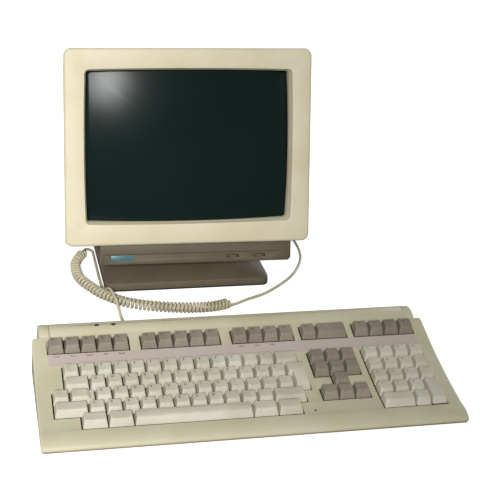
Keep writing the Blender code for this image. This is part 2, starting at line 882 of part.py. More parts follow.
def well_outline_shares():
    """Plan outlines of the key wells, in pitches, each list of corners anticlockwise."""
    f, top = row_shares["F"], row_shares["F"] + 1
    wells = [
        [(left, f), (right, f), (right, top), (left, top)]
        for left, right in ((0, 5), (5.75, 10.75), (11.5, 15.5), (16, 19), (19.5, 23.5))
    ]
    wells.append(
        [(1.5, 0), (14.5, 0), (14.5, 1), (15, 1), (15, 2), (15.5, 2), (15.5, 4), (15.25, 4), (15.25, 5)]
        + [(0.75, 5), (0.75, 3), (0, 3), (0, 1), (1.5, 1)]
    )
    wells.append(
        [(16, 1), (19, 1), (19, 2), (18, 2), (18, 3), (19, 3), (19, 5), (16, 5)]
        + [(16, 3), (17, 3), (17, 2), (16, 2)]
    )
    wells.append([(19.5, 0), (23.5, 0), (23.5, 5), (19.5, 5)])
    return wells


def grown(outline):
    """An outline in metres, a small gap larger than its keys, with room at the back for their stroke."""
    points = []
    count = len(outline)
    for i, (x, y) in enumerate(outline):
        before, after = outline[i - 1], outline[(i + 1) % count]
        step_x = y - before[1] if y != before[1] else after[1] - y
        step_y = x - before[0] if x != before[0] else after[0] - x
        side = math.copysign(1, step_x)
        front = -math.copysign(1, step_y)
        room = well_gap / 2
        stroke = key_travel * math.sin(surface_angle(y * key_pitch)) if front > 0 else 0.0
        points.append((key_x(x) + side * room, y * key_pitch + front * (room + stroke)))
    return points


def build_top_case(parent):
    """The upper shell, with its key wells, light windows, axle holes and the plug's hole."""
    top_case = finish("keyboard_top_case", case_solid(0.0, 0.0), "case", parent)
    boolean(top_case, case_solid(case_skin, overrun))
    wells = bmesh.new()
    ceiling = bar_height_place + bar_radius + overrun
    for outline in well_outline_shares():
        points = grown(outline)
        low = surface_height(min(y for x, y in points)) - case_skin * 2
        add_loft(wells, [level(points, low), level(points, ceiling)])
    boolean(top_case, wells)
    openings = bmesh.new()
    for index in range(2):
        centre = key_x(0) + first_light + index * light_pitch
        box_about(
            openings,
            (centre, bar_depth_place, bar_height_place + bar_radius),
            (light_width + seat_gap * 2, light_depth + seat_gap * 2, overrun),
        )
    axle_hole = foot_axle_radius + seat_gap
    wall_middle = keyboard_width / 2 - foot_cap_inset - foot_cap_width - case_skin / 2
    for side in (-1, 1):
        loops = turned_loops([(axle_hole, -overrun), (axle_hole, overrun)], axis="X")
        place = Vector((side * wall_middle, bar_depth_place, bar_height_place))
        add_loft(openings, [[point + place for point in loop] for loop in loops])
    box_about(
        openings,
        (plug_exit_across, bar_depth_place + bar_radius, keyboard_plug_height),
        (plug_width + seat_gap * 2, overrun * 2, plug_height + seat_gap * 2),
    )
    boolean(top_case, openings)


def floor_hollow_back():
    """Depth at which the floor ends beside the bar, where the turning feet swing."""
    return bar_point(bar_radius + running_gap, math.radians(hollow_end))[0] - floor_inset


def build_bottom_case(parent):
    """The floor that closes the case, with the posts that carry the circuit board."""
    floor_top = case_rim_height - seat_gap
    half = keyboard_width / 2 - floor_inset
    front = -front_reach + floor_inset
    hollow_back = floor_hollow_back()
    bar_back = bar_point(bar_radius, math.radians(-20))[0] - floor_inset
    bar_end = keyboard_width / 2 - foot_cap_inset - foot_cap_width - floor_inset
    cells = [(-half, half, front, hollow_back), (-bar_end, bar_end, hollow_back, bar_back)]
    floor = plate_from_cells(
        [-half, -bar_end, bar_end, half],
        [front, hollow_back, bar_back],
        inside_any(cells),
        on_flat,
        floor_top,
        floor_height,
    )
    bottom_case = finish("keyboard_bottom_case", floor, "grey_brown", parent)
    posts = bmesh.new()
    for units in post_across_shares:
        for row in post_row_shares:
            x, y = key_x(units), row * key_pitch
            base_y, base_z = below_surface(y, board_depth + board_thickness)
            post_top = base_z - seat_gap - post_width / 2 * math.tan(surface_angle(y))
            low = (x - post_width / 2, base_y - post_width / 2, floor_height + strip_height / 2)
            add_box(posts, low, (x + post_width / 2, base_y + post_width / 2, post_top))
    boolean(bottom_case, posts, "UNION")


def build_light_pipe(parent):
    """The clear pipe that brings two status lights up through the bar."""
    pipe_top = bar_height_place + bar_radius
    pipe_low = pipe_top - light_pipe_drop
    first = key_x(0) + first_light
    half_light = light_width / 2
    outline = [
        (first - half_light, pipe_top),
        (first - half_light, pipe_low),
        (first + light_pitch + half_light, pipe_low),
        (first + light_pitch + half_light, pipe_top),
        (first + light_pitch - half_light, pipe_top),
        (first + light_pitch - half_light, pipe_low + light_pipe_height),
        (first + half_light, pipe_low + light_pipe_height),
        (first + half_light, pipe_top),
    ]
    pipe = bmesh.new()
    sides = [[Vector((x, bar_depth_place + s * light_depth / 2, z)) for x, z in outline] for s in (-1, 1)]
    add_loft(pipe, sides)
    finish("status_light_pipe", pipe, "black", parent)


def build_strips(parent):
    """The rubber strips that the keyboard stands on."""
    reach = keyboard_width / 2 - strip_end_inset
    rear_middle = floor_hollow_back() - strip_width
    for name, middle in (("front_rubber_strip", 0.0), ("rear_rubber_strip", rear_middle)):
        strip = bmesh.new()
        box_about(strip, (0, middle, strip_height / 2), (reach * 2, strip_width, strip_height))
        finish(name, strip, "rubber", parent)


def build_keyboard(parent):
    """The case, the sheets below the keys, the turning feet and the rubber strips."""
    build_top_case(parent)
    build_bottom_case(parent)
    build_bank_sheets(parent)
    build_light_pipe(parent)
    for name, side in (("left_height_foot", -1), ("right_height_foot", 1)):
        build_height_foot(name, side, parent)
    build_strips(parent)


def merged_cells(cells):
    """Mats that lie end to end in one row share a window, as long as less than a key parts them."""
    merged = []
    for left, right, front, back in sorted(cells, key=lambda cell: (cell[2], cell[3], cell[0])):
        if merged:
            before = merged[-1]
            level_with = abs(before[2] - front) < merge_reach and abs(before[3] - back) < merge_reach
            if level_with and left - before[1] < key_pitch:
                merged[-1] = (before[0], max(before[1], right), front, back)
                continue
        merged.append((left, right, front, back))
    return merged


def bank_allows(x, y):
    """Where the sheets below the keys may lie: clear of the hollows that the turning feet sit in."""
    bar_end = keyboard_width / 2 - foot_cap_inset - foot_cap_width - running_gap - case_skin - seat_gap
    return y < (row_shares["F"] - 0.5) * key_pitch or abs(x) < bar_end


def build_bank_sheets(parent):
    """The guide frame with a window for each group's mat, and the circuit board below it."""
    windows = merged_cells([cell for colour, keys in key_group_shares.values() for cell in mat_cells(keys)])
    window_test = inside_any(windows, running_gap)
    edge = guide_margin - running_gap
    bar_end = keyboard_width / 2 - foot_cap_inset - foot_cap_width - running_gap - case_skin - seat_gap
    left, right = key_x(0) - edge, key_x(keys_across) + edge
    front, back = -guide_margin / 2, (row_shares["F"] + 1) * key_pitch
    step_back = (row_shares["F"] - 0.5) * key_pitch
    x_lines = {left, right, -bar_end, bar_end}
    y_lines = {front, back, step_back}
    for cell in windows:
        x_lines |= {cell[0] - running_gap, cell[1] + running_gap}
        y_lines |= {cell[2] - running_gap, cell[3] + running_gap}
    x_lines, y_lines = tidy_lines(x_lines), tidy_lines(y_lines)

    def guide_filled(x, y):
        return bank_allows(x, y) and not window_test(x, y)

    frame = plate_from_cells(
        x_lines, y_lines, guide_filled, on_bank, guide_depth, guide_depth + guide_thickness
    )
    guide = finish("key_guide_frame", frame, "steel", parent)
    rib_width = guide_margin / 3
    rib_back = step_back - key_pitch
    rib_lines = tidy_lines({front, rib_back} | {line for line in y_lines if front < line < rib_back})
    edges = [(left, left + rib_width), (right - rib_width, right)]

    def rib_filled(x, y):
        return any(low < x < high for low, high in edges)

    ribs = plate_from_cells(
        [value for edge_pair in edges for value in edge_pair],
        rib_lines[:: max(1, len(rib_lines) // 6)] + [rib_back],
        rib_filled,
        on_bank,
        guide_rib_top,
        board_depth - seat_gap,
    )
    boolean(guide, ribs, "UNION")

    rows = [front, step_back] + [row * key_pitch for row in (1, 2, 3, 4, 5)] + [back]
    board = plate_from_cells(
        tidy_lines({left, right, -bar_end, bar_end}),
        tidy_lines(set(rows)),
        bank_allows,
        on_bank,
        board_depth,
        board_depth + board_thickness,
    )
    finish("keyboard_circuit_board", board, "board", parent)


def tidy_lines(values):
    """Grid lines in order, with those that fall on each other made one."""
    kept = []
    for value in sorted(values):
        if not kept or value - kept[-1] > merge_reach:
            kept.append(value)
    return kept


def build_height_foot(name, side, parent):
    """A turning foot: a disc as large as the bar with a lobe that swings down, and its axle."""
    spread = math.acos((bar_radius - lobe_radius) / lobe_reach)
    angles = np.linspace(lobe_rest_angle + spread, lobe_rest_angle + math.tau - spread, 17)
    outline = [(bar_radius * math.cos(a), bar_radius * math.sin(a)) for a in angles]
    tip = (lobe_reach * math.cos(lobe_rest_angle), lobe_reach * math.sin(lobe_rest_angle))
    for angle in np.linspace(lobe_rest_angle - spread, lobe_rest_angle + spread, 4):
        outline.append((tip[0] + lobe_radius * math.cos(angle), tip[1] + lobe_radius * math.sin(angle)))
    half = foot_cap_width / 2
    inward = -side
    mesh = bmesh.new()
    add_loft(mesh, [[Vector((x, y, z)) for y, z in outline] for x in (-half, half)])
    middle = side * (keyboard_width / 2 - foot_cap_inset - half)
    foot = finish(name, mesh, "case", parent, (middle, bar_depth_place, bar_height_place))
    axle = bmesh.new()
    axle_end = inward * (half + foot_axle_length)
    add_loft(axle, turned_loops([(foot_axle_radius, 0), (foot_axle_radius, axle_end)], 12, "X"))
    boolean(foot, axle, "UNION")


# Monitor


def rest_level(depth, drop):
    """Height, in the monitor's own frame, of a level plane a drop below the ball centre at rest."""
    ahead = depth - screen_ahead
    return -screen_above + (ahead * math.sin(rest_tilt) - drop) / math.cos(rest_tilt)


def tray_rim(depth):
    """Height of the tray's upper rim, on which the rear housing sits, at a depth."""
    front = -screen_height / 2 - chin_top
    back = rest_level(housing_depth, belly_drop) + tray_back_height
    return front + (back - front) * (depth - tray_front) / (housing_depth - tray_front)


def build_bezel(parent):
    """The front bezel: a moulded frame with a rounded edge, a chamfered opening and four bosses."""
    half_width = screen_width / 2 + bezel_side
    half_height = (screen_height + bezel_top + bezel_bottom) / 2
    centre = (0, (bezel_top - bezel_bottom) / 2)

    def outer(inset, depth):
        radius = bezel_corner - min(inset, bezel_wall)
        half_sizes = (half_width - inset, half_height - inset)
        return upright(rounded_rect(*half_sizes, radius, centre=centre, middles=side_point_count), depth)

    def opening(grow, depth):
        points = rounded_rect(
            screen_width / 2 - screen_bow + grow,
            screen_height / 2 - screen_bow + grow,
            screen_corner + grow,
            bow=screen_bow,
            middles=side_point_count,
        )
        return upright(points, depth)

    turn_in = bezel_edge_radius * (1 - math.sqrt(0.5))
    loops = [
        outer(housing_inset, bezel_depth),
        outer(0, bezel_edge_radius),
        outer(turn_in, turn_in),
        outer(bezel_edge_radius, 0),
        opening(bezel_chamfer_width, 0),
        opening(0, bezel_chamfer_depth),
        opening(0, bezel_chamfer_depth + bezel_lip),
        opening(bezel_wall, bezel_chamfer_depth + bezel_lip),
        opening(bezel_chamfer_width + bezel_wall, bezel_wall),
        outer(bezel_wall + housing_inset, bezel_wall),
        outer(bezel_wall + housing_inset, bezel_depth),
    ]
    bezel = finish("front_bezel", add_loft(bmesh.new(), loops, ring=True), "beige", parent)
    bosses = bmesh.new()
    for side in (-1, 1):
        for up in (-1, 1):
            loops = turned_loops([(boss_radius, bezel_wall / 2), (boss_radius, boss_end)], 8, "Y")
            shift = Vector((side * boss_across, 0, up * boss_up))
            add_loft(bosses, [[point + shift for point in loop] for loop in loops])
    boolean(bezel, bosses, "UNION")


def housing_section(depth, half_width, top, inset, open_below):
    """A section of the rear housing: round shoulders on top, its floor on the tray's rim."""
    bottom = tray_rim(depth) + seat_gap
    low = bottom - overrun * 4 if open_below else bottom + inset
    width = half_width - inset
    high = top - inset
    radius = housing_corner - inset
    points = [(-width, low), (width, low)]
    for start, side in ((0, 1), (90, -1)):
        for step in range(corner_step_count + 1):
            angle = math.radians(start + 90 * step / corner_step_count)
            across = side * (width - radius) + radius * math.cos(angle)
            points.append((across, high - radius + radius * math.sin(angle)))
    return upright(points, depth)


def build_rear_housing(parent):
    """The moulded cover: a shoulder behind the bezel, then a taper to the back, with vents."""
    front = bezel_depth + seat_gap
    front_half = screen_width / 2 + bezel_side - housing_inset
    front_top = screen_height / 2 + bezel_top - housing_inset
    stations = [
        (front, front_half, front_top),
        (shoulder_depth, shoulder_half_width, shoulder_top),
        (waist_depth, waist_half_width, waist_top),
        (housing_depth - housing_back_draw, housing_back_half_width, housing_back_top),
        (
            housing_depth,
            housing_back_half_width - housing_back_draw / 2,
            housing_back_top - housing_back_draw / 2,
        ),
    ]
    outer = [housing_section(depth, half, top, 0, False) for depth, half, top in stations]
    housing = finish("rear_housing", add_loft(bmesh.new(), outer), "beige", parent)
    inner_stations = list(stations[:-1])
    inner_stations[0] = (front - overrun, front_half, front_top)
    last_depth, last_half, last_top = inner_stations[-1]
    inner_stations[-1] = (housing_depth - housing_wall, last_half - housing_inset, last_top - housing_inset)
    inner = [housing_section(depth, half, top, housing_wall, False) for depth, half, top in inner_stations]
    boolean(housing, add_loft(bmesh.new(), inner))
    boolean(housing, tray_solid(tray_wall + seat_gap, overrun * 2, overrun))

    vents = bmesh.new()
    start = shoulder_depth + vent_pitch
    for row in range(vent_rows):
        depth = start + row * vent_pitch
        for side in (-1, 1):
            middle = side * (vent_length / 2 + vent_pitch)
            box_about(vents, (middle, depth, shoulder_top - overrun), (vent_length, vent_width, overrun * 5))
    for row in range(rear_vent_rows):
        middle = (row - (rear_vent_rows - 1) / 2) * vent_pitch
        height = housing_back_top - housing_back_draw - rear_vent_length / 2 - housing_corner
        box_about(vents, (middle, housing_depth, height), (vent_width, overrun * 2, rear_vent_length))
    boolean(housing, vents)


def tray_solid(inset, raised, front_gap=0.0):
    """The tray's outer form, or with an inset its hollow, which runs above its rim by a rise."""
    back_end = housing_depth - inset
    chin_low = -screen_height / 2 - chin_top - chin_height
    chin_back = tray_front + chin_depth
    belly = chin_back + belly_start / 4
    stations = []
    for depth in (tray_front, chin_back, belly, shoulder_depth, housing_depth):
        share = (depth - tray_front) / (housing_depth - tray_front)
        left = tray_left + (tray_back_half_width - tray_left) * share
        right = tray_right + (tray_back_half_width - tray_right) * share
        if depth <= chin_back:
            low = chin_low
        else:
            low = rest_level(depth, belly_drop)
        stations.append([depth, -left, right, low, tray_rim(depth)])
    stations[0][0] += inset + front_gap
    if inset:
        stations[1][0] -= inset
        stations[2][0] -= inset / 2
    stations[-1][0] = back_end
    loops = []
    for depth, left, right, low, high in stations:
        draw = tray_draw
        foot = low + inset
        top = high + raised
        loops.append(
            [
                Vector((left + inset + draw, depth, foot)),
                Vector((right - inset - draw, depth, foot)),
                Vector((right - inset, depth, foot + draw)),
                Vector((right - inset, depth, top)),
                Vector((left + inset, depth, top)),
                Vector((left + inset, depth, foot + draw)),
            ]
        )
    return add_loft(bmesh.new(), loops)


def chin_marks():
    """Cuts for the groove across the chin and for the seat of the small plate at its left."""
    marks = bmesh.new()
    groove = -screen_height / 2 - chin_top - groove_drop
    left, right = -tray_left + groove_left_inset, tray_right - groove_right_inset
    low = (left, tray_front - overrun, groove - groove_height / 2)
    add_box(marks, low, (right, tray_front + groove_depth, groove + groove_height / 2))
    middle = (
        -tray_left + plate_inset + plate_width / 2,
        groove - groove_height / 2 - plate_gap - plate_height / 2,
    )
    plan = rounded_rect(plate_width / 2, plate_height / 2, plate_corner, centre=middle)
    add_loft(marks, [upright(plan, tray_front - overrun), upright(plan, tray_front + plate_seat_depth)])
    return marks


def build_tray(parent):
    """The tray: chin with thumb recesses in front, level belly, and a back wall full of sockets."""
    tray = finish("chassis_tray", tray_solid(0.0, 0.0), "grey_brown", parent)
    boolean(tray, tray_solid(tray_wall, overrun * 2))
    cuts = bmesh.new()
    slot_height = wheel_thickness + running_gap * 2
    slot_half = math.sqrt(wheel_radius**2 - (wheel_radius - wheel_proud - tray_wall) ** 2) + running_gap
    chin_middle = -screen_height / 2 - chin_top - wheel_drop
    for index in range(2):
        across = first_wheel + index * wheel_pitch
        box_about(
            cuts, (across, tray_front, chin_middle), (slot_half * 2, tray_wall * 2 + running_gap, slot_height)
        )
    boolean(tray, cuts)
    recesses = bmesh.new()
    for index in range(2):
        across = first_wheel + index * wheel_pitch
        wide = thumb_recess_width / 2
        narrow = wide * thumb_foot_share
        high, low = chin_middle + thumb_recess_height / 2, chin_middle - thumb_recess_height / 2
        shelf = chin_middle - thumb_recess_height * thumb_shelf_share
        outline = [(-narrow, low), (narrow, low), (narrow, shelf), (wide, shelf)]
        outline += [(wide, high), (-wide, high), (-wide, shelf), (-narrow, shelf)]
        plan = [(x + across, z) for x, z in outline]
        recess_back = tray_front + thumb_recess_depth
        add_loft(recesses, [upright(plan, tray_front - overrun), upright(plan, recess_back)])
    boolean(tray, recesses)
    boolean(tray, chin_marks())
    holes = bmesh.new()
    for across, width, height in (
        (serial_across, serial_shell_width, serial_shell_height),
        (comm_across, comm_width, comm_height),
        (0.0, jack_width, jack_height),
        (inlet_across, inlet_width, inlet_height),
        (switch_across, switch_width + running_gap, switch_height + running_gap),
    ):
        size = (width + seat_gap * 2, tray_wall * 3, height + seat_gap * 2)
        box_about(holes, (across, housing_depth, socket_line()), size)
    boolean(tray, holes)
    posts = bmesh.new()
    slope = Matrix.Rotation(rest_tilt, 4, "X")
    for depth in (main_board_front + overrun, main_board_back - overrun):
        for side in (-1, 1):
            floor = rest_level(depth, belly_drop) + tray_wall
            place = Matrix.Translation((side * (main_board_half_width - overrun), depth, floor)) @ slope
            box_about(
                posts, (0, 0, (main_board_lift - seat_gap) / 2 - tray_wall / 4),
                (post_width, post_width, main_board_lift - seat_gap + tray_wall / 2), place,
            )
    boolean(tray, posts, "UNION")


def socket_line():
    """Height of the middle of the sockets on the tray's back wall."""
    return rest_level(housing_depth, belly_drop) + tray_back_height / 2


def build_wheel(name, index, parent):
    """A thumbwheel: a ribbed disc on its upright shaft."""
    across = first_wheel + index * wheel_pitch
    depth = tray_front - wheel_proud + wheel_radius
    height = -screen_height / 2 - chin_top - wheel_drop
    half = wheel_thickness / 2
    mesh = bmesh.new()
    loops = []
    for z in (-half, half):
        loop = []
        for i in range(wheel_tooth_count * 2):
            radius = wheel_radius - (0.0 if i % 2 else running_gap)
            angle = math.pi * i / wheel_tooth_count
            loop.append(Vector((radius * math.cos(angle), radius * math.sin(angle), z)))
        loops.append(loop)
    add_loft(mesh, loops)
    wheel = finish(name, mesh, "black", parent, (across, depth, height))
    shaft = bmesh.new()
    floor = -screen_height / 2 - chin_top - chin_height + tray_wall + seat_gap - height
    add_loft(shaft, turned_loops([(wheel_shaft_radius, floor), (wheel_shaft_radius, wheel_thickness * 2)], 8))
    boolean(wheel, shaft, "UNION")


def tube_loops(inset_face, inset_funnel, inset_neck, end):
    """Loops of the picture tube from the rim of its face back to its neck."""
    stations = [
        (face_apex + face_sag, tube_half_width - face_draw, tube_half_height - face_draw, inset_face),
        (rim_front, tube_half_width, tube_half_height, inset_face),
        (rim_back, tube_half_width, tube_half_height, inset_face),
        (funnel_depth, funnel_half_width, funnel_half_height, inset_funnel),
        (throat_depth, throat_half_width, throat_half_width, inset_funnel),
        (neck_start, neck_radius, neck_radius, inset_neck),
        (end, neck_radius, neck_radius, inset_neck),
    ]
    loops = []
    for depth, half_width, half_height, inset in stations:
        share = (depth - rim_back) / (neck_start - rim_back)
        radius = tube_corner + max(share, 0) * (throat_half_width - tube_corner) * 2
        plan = rounded_rect(half_width - inset, half_height - inset, radius)
        loops.append(upright(plan, depth))
    return loops


def build_tube(parent):
    """The picture tube: a bulged face, a funnel and a neck, hollow, its neck open to the socket."""
    outer = tube_loops(0, 0, 0, neck_end)
    inner = tube_loops(face_glass, funnel_glass, neck_glass, neck_end)
    inner[0] = [Vector((point.x, point.y + face_glass, point.z)) for point in inner[0]]
    inner = inner[:1] + inner[2:]
    rim_count = len(outer[0])

    def face_ring(edge, share, apex):
        return [Vector((p.x * share, apex + (p.y - apex) * share * share, p.z * share)) for p in edge]

    mesh = bmesh.new()
    front_rings = [face_ring(outer[0], share, face_apex) for share in (0.33, 0.66)]
    back_rings = [face_ring(inner[0], share, face_apex + face_glass) for share in (0.5,)]
    loops = front_rings + outer + inner[::-1] + back_rings[::-1]
    rows = [[mesh.verts.new(point) for point in loop] for loop in loops]
    for low, high in zip(rows, rows[1:]):
        for i in range(rim_count):
            j = (i + 1) % rim_count
            mesh.faces.new((low[i], low[j], high[j], high[i]))
    for row, apex in ((rows[0], face_apex), (rows[-1], face_apex + face_glass)):
        tip = mesh.verts.new((0, apex, 0))
        for i in range(rim_count):
            mesh.faces.new((row[i], row[(i + 1) % rim_count], tip))
    finish("picture_tube", mesh, "glass", parent)


def build_band(parent):
    """The steel band round the tube's rim, with a screwed ear at each corner."""
    loops = []
    for grow, depth in (
        (band_gap, boss_end + seat_gap),
        (band_gap + band_thickness, boss_end + seat_gap),
        (band_gap + band_thickness, rim_back - band_thickness),
        (band_gap, rim_back - band_thickness),
    ):
        plan = rounded_rect(tube_half_width + grow, tube_half_height + grow, tube_corner + grow)
        loops.append(upright(plan, depth))
    band = finish("tube_rim_band", add_loft(bmesh.new(), loops, ring=True), "steel", parent)
    ears = bmesh.new()
    for side in (-1, 1):
        for up in (-1, 1):
            turn = Matrix.Rotation(-math.radians(45) * side * up, 4, "Y")
            corner = tube_corner * (1 - math.sqrt(0.5))
            middle = Vector(
                (
                    side * (boss_across + tube_half_width - corner) / 2 + side * band_thickness,
                    boss_end + seat_gap + band_thickness * 0.75,
                    up * (boss_up + tube_half_height - corner) / 2 + up * band_thickness,
                )
            )
            place = Matrix.Translation(middle) @ turn
            size = (ear_half_width * 2, band_thickness, ear_half_width)
            box_about(ears, (0, 0, 0), size, place)
    boolean(band, ears, "UNION")


def build_yoke(parent):
    """The deflection yoke: a flared ferrite ring over the throat of the tube."""
    bore = neck_radius + neck_clearance
    flange_end = yoke_start + yoke_flange
    profile = [
        (yoke_mouth_radius, yoke_start),
        (yoke_flange_radius, yoke_start),
        (yoke_flange_radius, flange_end),
        (yoke_body_radius, flange_end),
        (yoke_tail_radius, yoke_end - yoke_flange),
        (yoke_tail_radius, yoke_end),
        (bore, yoke_end),
        (bore, neck_start + yoke_flange / 2),
    ]
    mesh = add_loft(bmesh.new(), turned_loops(profile, 20, "Y"), ring=True)
    finish("deflection_yoke", mesh, "copper", parent)


def build_socket_board(parent):
    """The small board on the end of the neck, with the cup that grips the tube's pins."""
    bore = neck_radius + neck_clearance / 2
    start = neck_end - socket_length
    board_front = neck_end + seat_gap
    profile = [
        (bore, start),
        (socket_radius, start),
        (socket_radius, board_front + circuit_thickness / 2),
        (bore, board_front + circuit_thickness / 2),
    ]
    board = bmesh.new()
    half = socket_board_half
    add_box(board, (-half, board_front, -half), (half, board_front + circuit_thickness, half))
    plate = finish("tube_socket_board", board, "board", parent)
    cup = add_loft(bmesh.new(), turned_loops(profile, 16, "Y"), ring=True)
    boolean(plate, cup, "UNION")


def on_board(depth, rise):
    """Height of a level a rise above the tray's floor, at a depth."""
    return rest_level(depth, belly_drop) + (tray_wall + rise) / math.cos(rest_tilt)


def build_boards(parent):
    """The main board on its posts, and the flyback transformer that stands on it."""
    mesh = bmesh.new()
    half = main_board_half_width
    thick = circuit_thickness / math.cos(rest_tilt)
    lifted = [(d, on_board(d, main_board_lift)) for d in (main_board_front, main_board_back)]
    outline = lifted + [(depth, height + thick) for depth, height in reversed(lifted)]
    add_loft(mesh, [[Vector((x, y, z)) for y, z in outline] for x in (-half, half)])
    board = finish("main_board", mesh, "board", parent)
    parts = bmesh.new()
    slope = Matrix.Rotation(rest_tilt, 4, "X")
    board_length = main_board_back - main_board_front
    for across, along, width, length in board_chip_shares:
        depth = main_board_front + board_length * along
        base = on_board(depth, main_board_lift + circuit_thickness / 2)
        place = Matrix.Translation((main_board_half_width * across, depth, base)) @ slope
        size = (main_board_half_width * width, board_length * length, chip_height)
        box_about(parts, (0, 0, chip_height / 2), size, place)
    boolean(board, parts, "UNION")

    base = on_board(flyback_depth, main_board_lift + circuit_thickness + seat_gap)
    profile = [
        (flyback_radius, 0),
        (flyback_radius, flyback_height * flyback_shoulder_share),
        (flyback_radius * flyback_top_share, flyback_height),
    ]
    turned = add_loft(bmesh.new(), turned_loops(profile, 12))
    place = (flyback_across, flyback_depth, base)
    finish("flyback_transformer", turned, "black", parent, place, (rest_tilt, 0, 0))


def socket_block(name, across, width, height, depth, parent, colour="black"):
    """A socket's body through the tray's back wall, with a lip outside."""
    mesh = bmesh.new()
    line = socket_line()
    lip = housing_depth + seat_gap
    add_box(
        mesh,
        (across - width / 2, lip + socket_lip - depth, line - height / 2),
        (across + width / 2, lip + socket_lip, line + height / 2),
    )
    return finish(name, mesh, colour, parent)


def socket_hole(target, across, width, height, depth):
    """A square hole into a socket from outside."""
    mesh = bmesh.new()
    mouth = housing_depth + seat_gap + socket_lip
    line = socket_line()
    add_box(
        mesh,
        (across - width / 2, mouth - depth, line - height / 2),
        (across + width / 2, mouth + overrun, line + height / 2),
    )
    boolean(target, mesh)


def build_sockets(parent):
    """Everything in the back wall: serial port, communication sockets, keyboard jack, inlet, switch."""
    line = socket_line()
    lip = housing_depth + seat_gap

    def octagon(width, height, depth):
        return upright(rounded_rect(width / 2, height / 2, height / 4, 1, (serial_across, line)), depth)

    wall = serial_shell_wall * 2
    inside = housing_depth - tray_wall - socket_lip
    shell_end = lip + socket_lip + serial_shell_length
    loops = [
        octagon(serial_shell_width - wall, serial_shell_height - wall, inside),
        octagon(serial_shell_width - wall, serial_shell_height - wall, lip),
        octagon(serial_width, serial_height, lip),
        octagon(serial_width, serial_height, lip + socket_lip),
        octagon(serial_shell_width, serial_shell_height, lip + socket_lip),
        octagon(serial_shell_width, serial_shell_height, shell_end),
        octagon(serial_shell_width - wall, serial_shell_height - wall, shell_end),
        octagon(serial_shell_width - wall, serial_shell_height - wall, lip + socket_lip),
    ]
    finish("serial_port", add_loft(bmesh.new(), loops), "steel", parent)

    comm = socket_block("communication_sockets", comm_across, comm_width, comm_height, comm_depth, parent)
    for side in (-0.5, 0.5):
        middle = comm_across + side * comm_hole_pitch
        socket_hole(comm, middle, comm_hole_width, comm_hole_height, comm_hole_depth)

    jack = socket_block("keyboard_jack", 0.0, jack_width, jack_height, comm_depth, parent)
    gap = seat_gap * 2
    socket_hole(jack, 0.0, plug_width + gap, plug_height + gap, plug_inside + seat_gap)

    inlet = socket_block("power_inlet", inlet_across, inlet_width, inlet_height, inlet_depth, parent)
    socket_hole(inlet, inlet_across, inlet_hole_width, inlet_hole_height, inlet_hole_depth)

    half = switch_height / 2 - running_gap
    bulge = half * math.tan(switch_rock)
    front = -switch_depth + bulge
    tail = half * rocker_share
    outline = [(bulge, -half), (0.0, 0.0), (bulge, half), (front, tail), (front, -tail)]
    rocker = bmesh.new()
    reach = switch_width / 2 - running_gap / 2
    add_loft(rocker, [[Vector((x, y, z)) for y, z in outline] for x in (-reach, reach)])
    pivot = (switch_across, housing_depth - tray_wall / 2, line)
    finish("power_switch", rocker, "black", parent, pivot, (-switch_rock, 0, 0))


# Dome, dish, clip and foot


def sphere_points(radius, reach, steps):
    """Profile of a spherical cap from its edge to its pole, below the ball centre."""
    edge = math.asin(reach / radius)
    angles = [edge * (steps - i) / steps for i in range(steps)]
    return [(radius * math.sin(angle), -radius * math.cos(angle)) for angle in angles]


def build_dome(parent):
    """The ball-shaped boss under the tray that rocks in the dish."""
    flat = belly_drop + seat_gap
    reach = math.sqrt(dome_radius**2 - flat**2)
    profile = sphere_points(dome_radius, reach, 5)
    loops = turned_loops(profile)
    mesh = bmesh.new()
    rows = [[mesh.verts.new(point) for point in loop] for loop in loops]
    for low, high in zip(rows, rows[1:]):
        for i in range(facet_count):
            j = (i + 1) % facet_count
            mesh.faces.new((low[i], low[j], high[j], high[i]))
    mesh.faces.new(rows[0])
    pole = mesh.verts.new((0, 0, -dome_radius))
    for i in range(facet_count):
        mesh.faces.new((rows[-1][(i + 1) % facet_count], rows[-1][i], pole))
    finish("swivel_dome", mesh, "grey_brown", parent, (0, 0, 0), (rest_tilt, 0, 0))


def dish_heights():
    """Named levels of the dish below the ball centre: its base, its plate and the foot's bore."""
    base = -(dome_radius + seat_gap + dish_floor)
    plate_top = base - seat_gap
    plate_low = plate_top - foot_plate
    return base, plate_top, plate_low


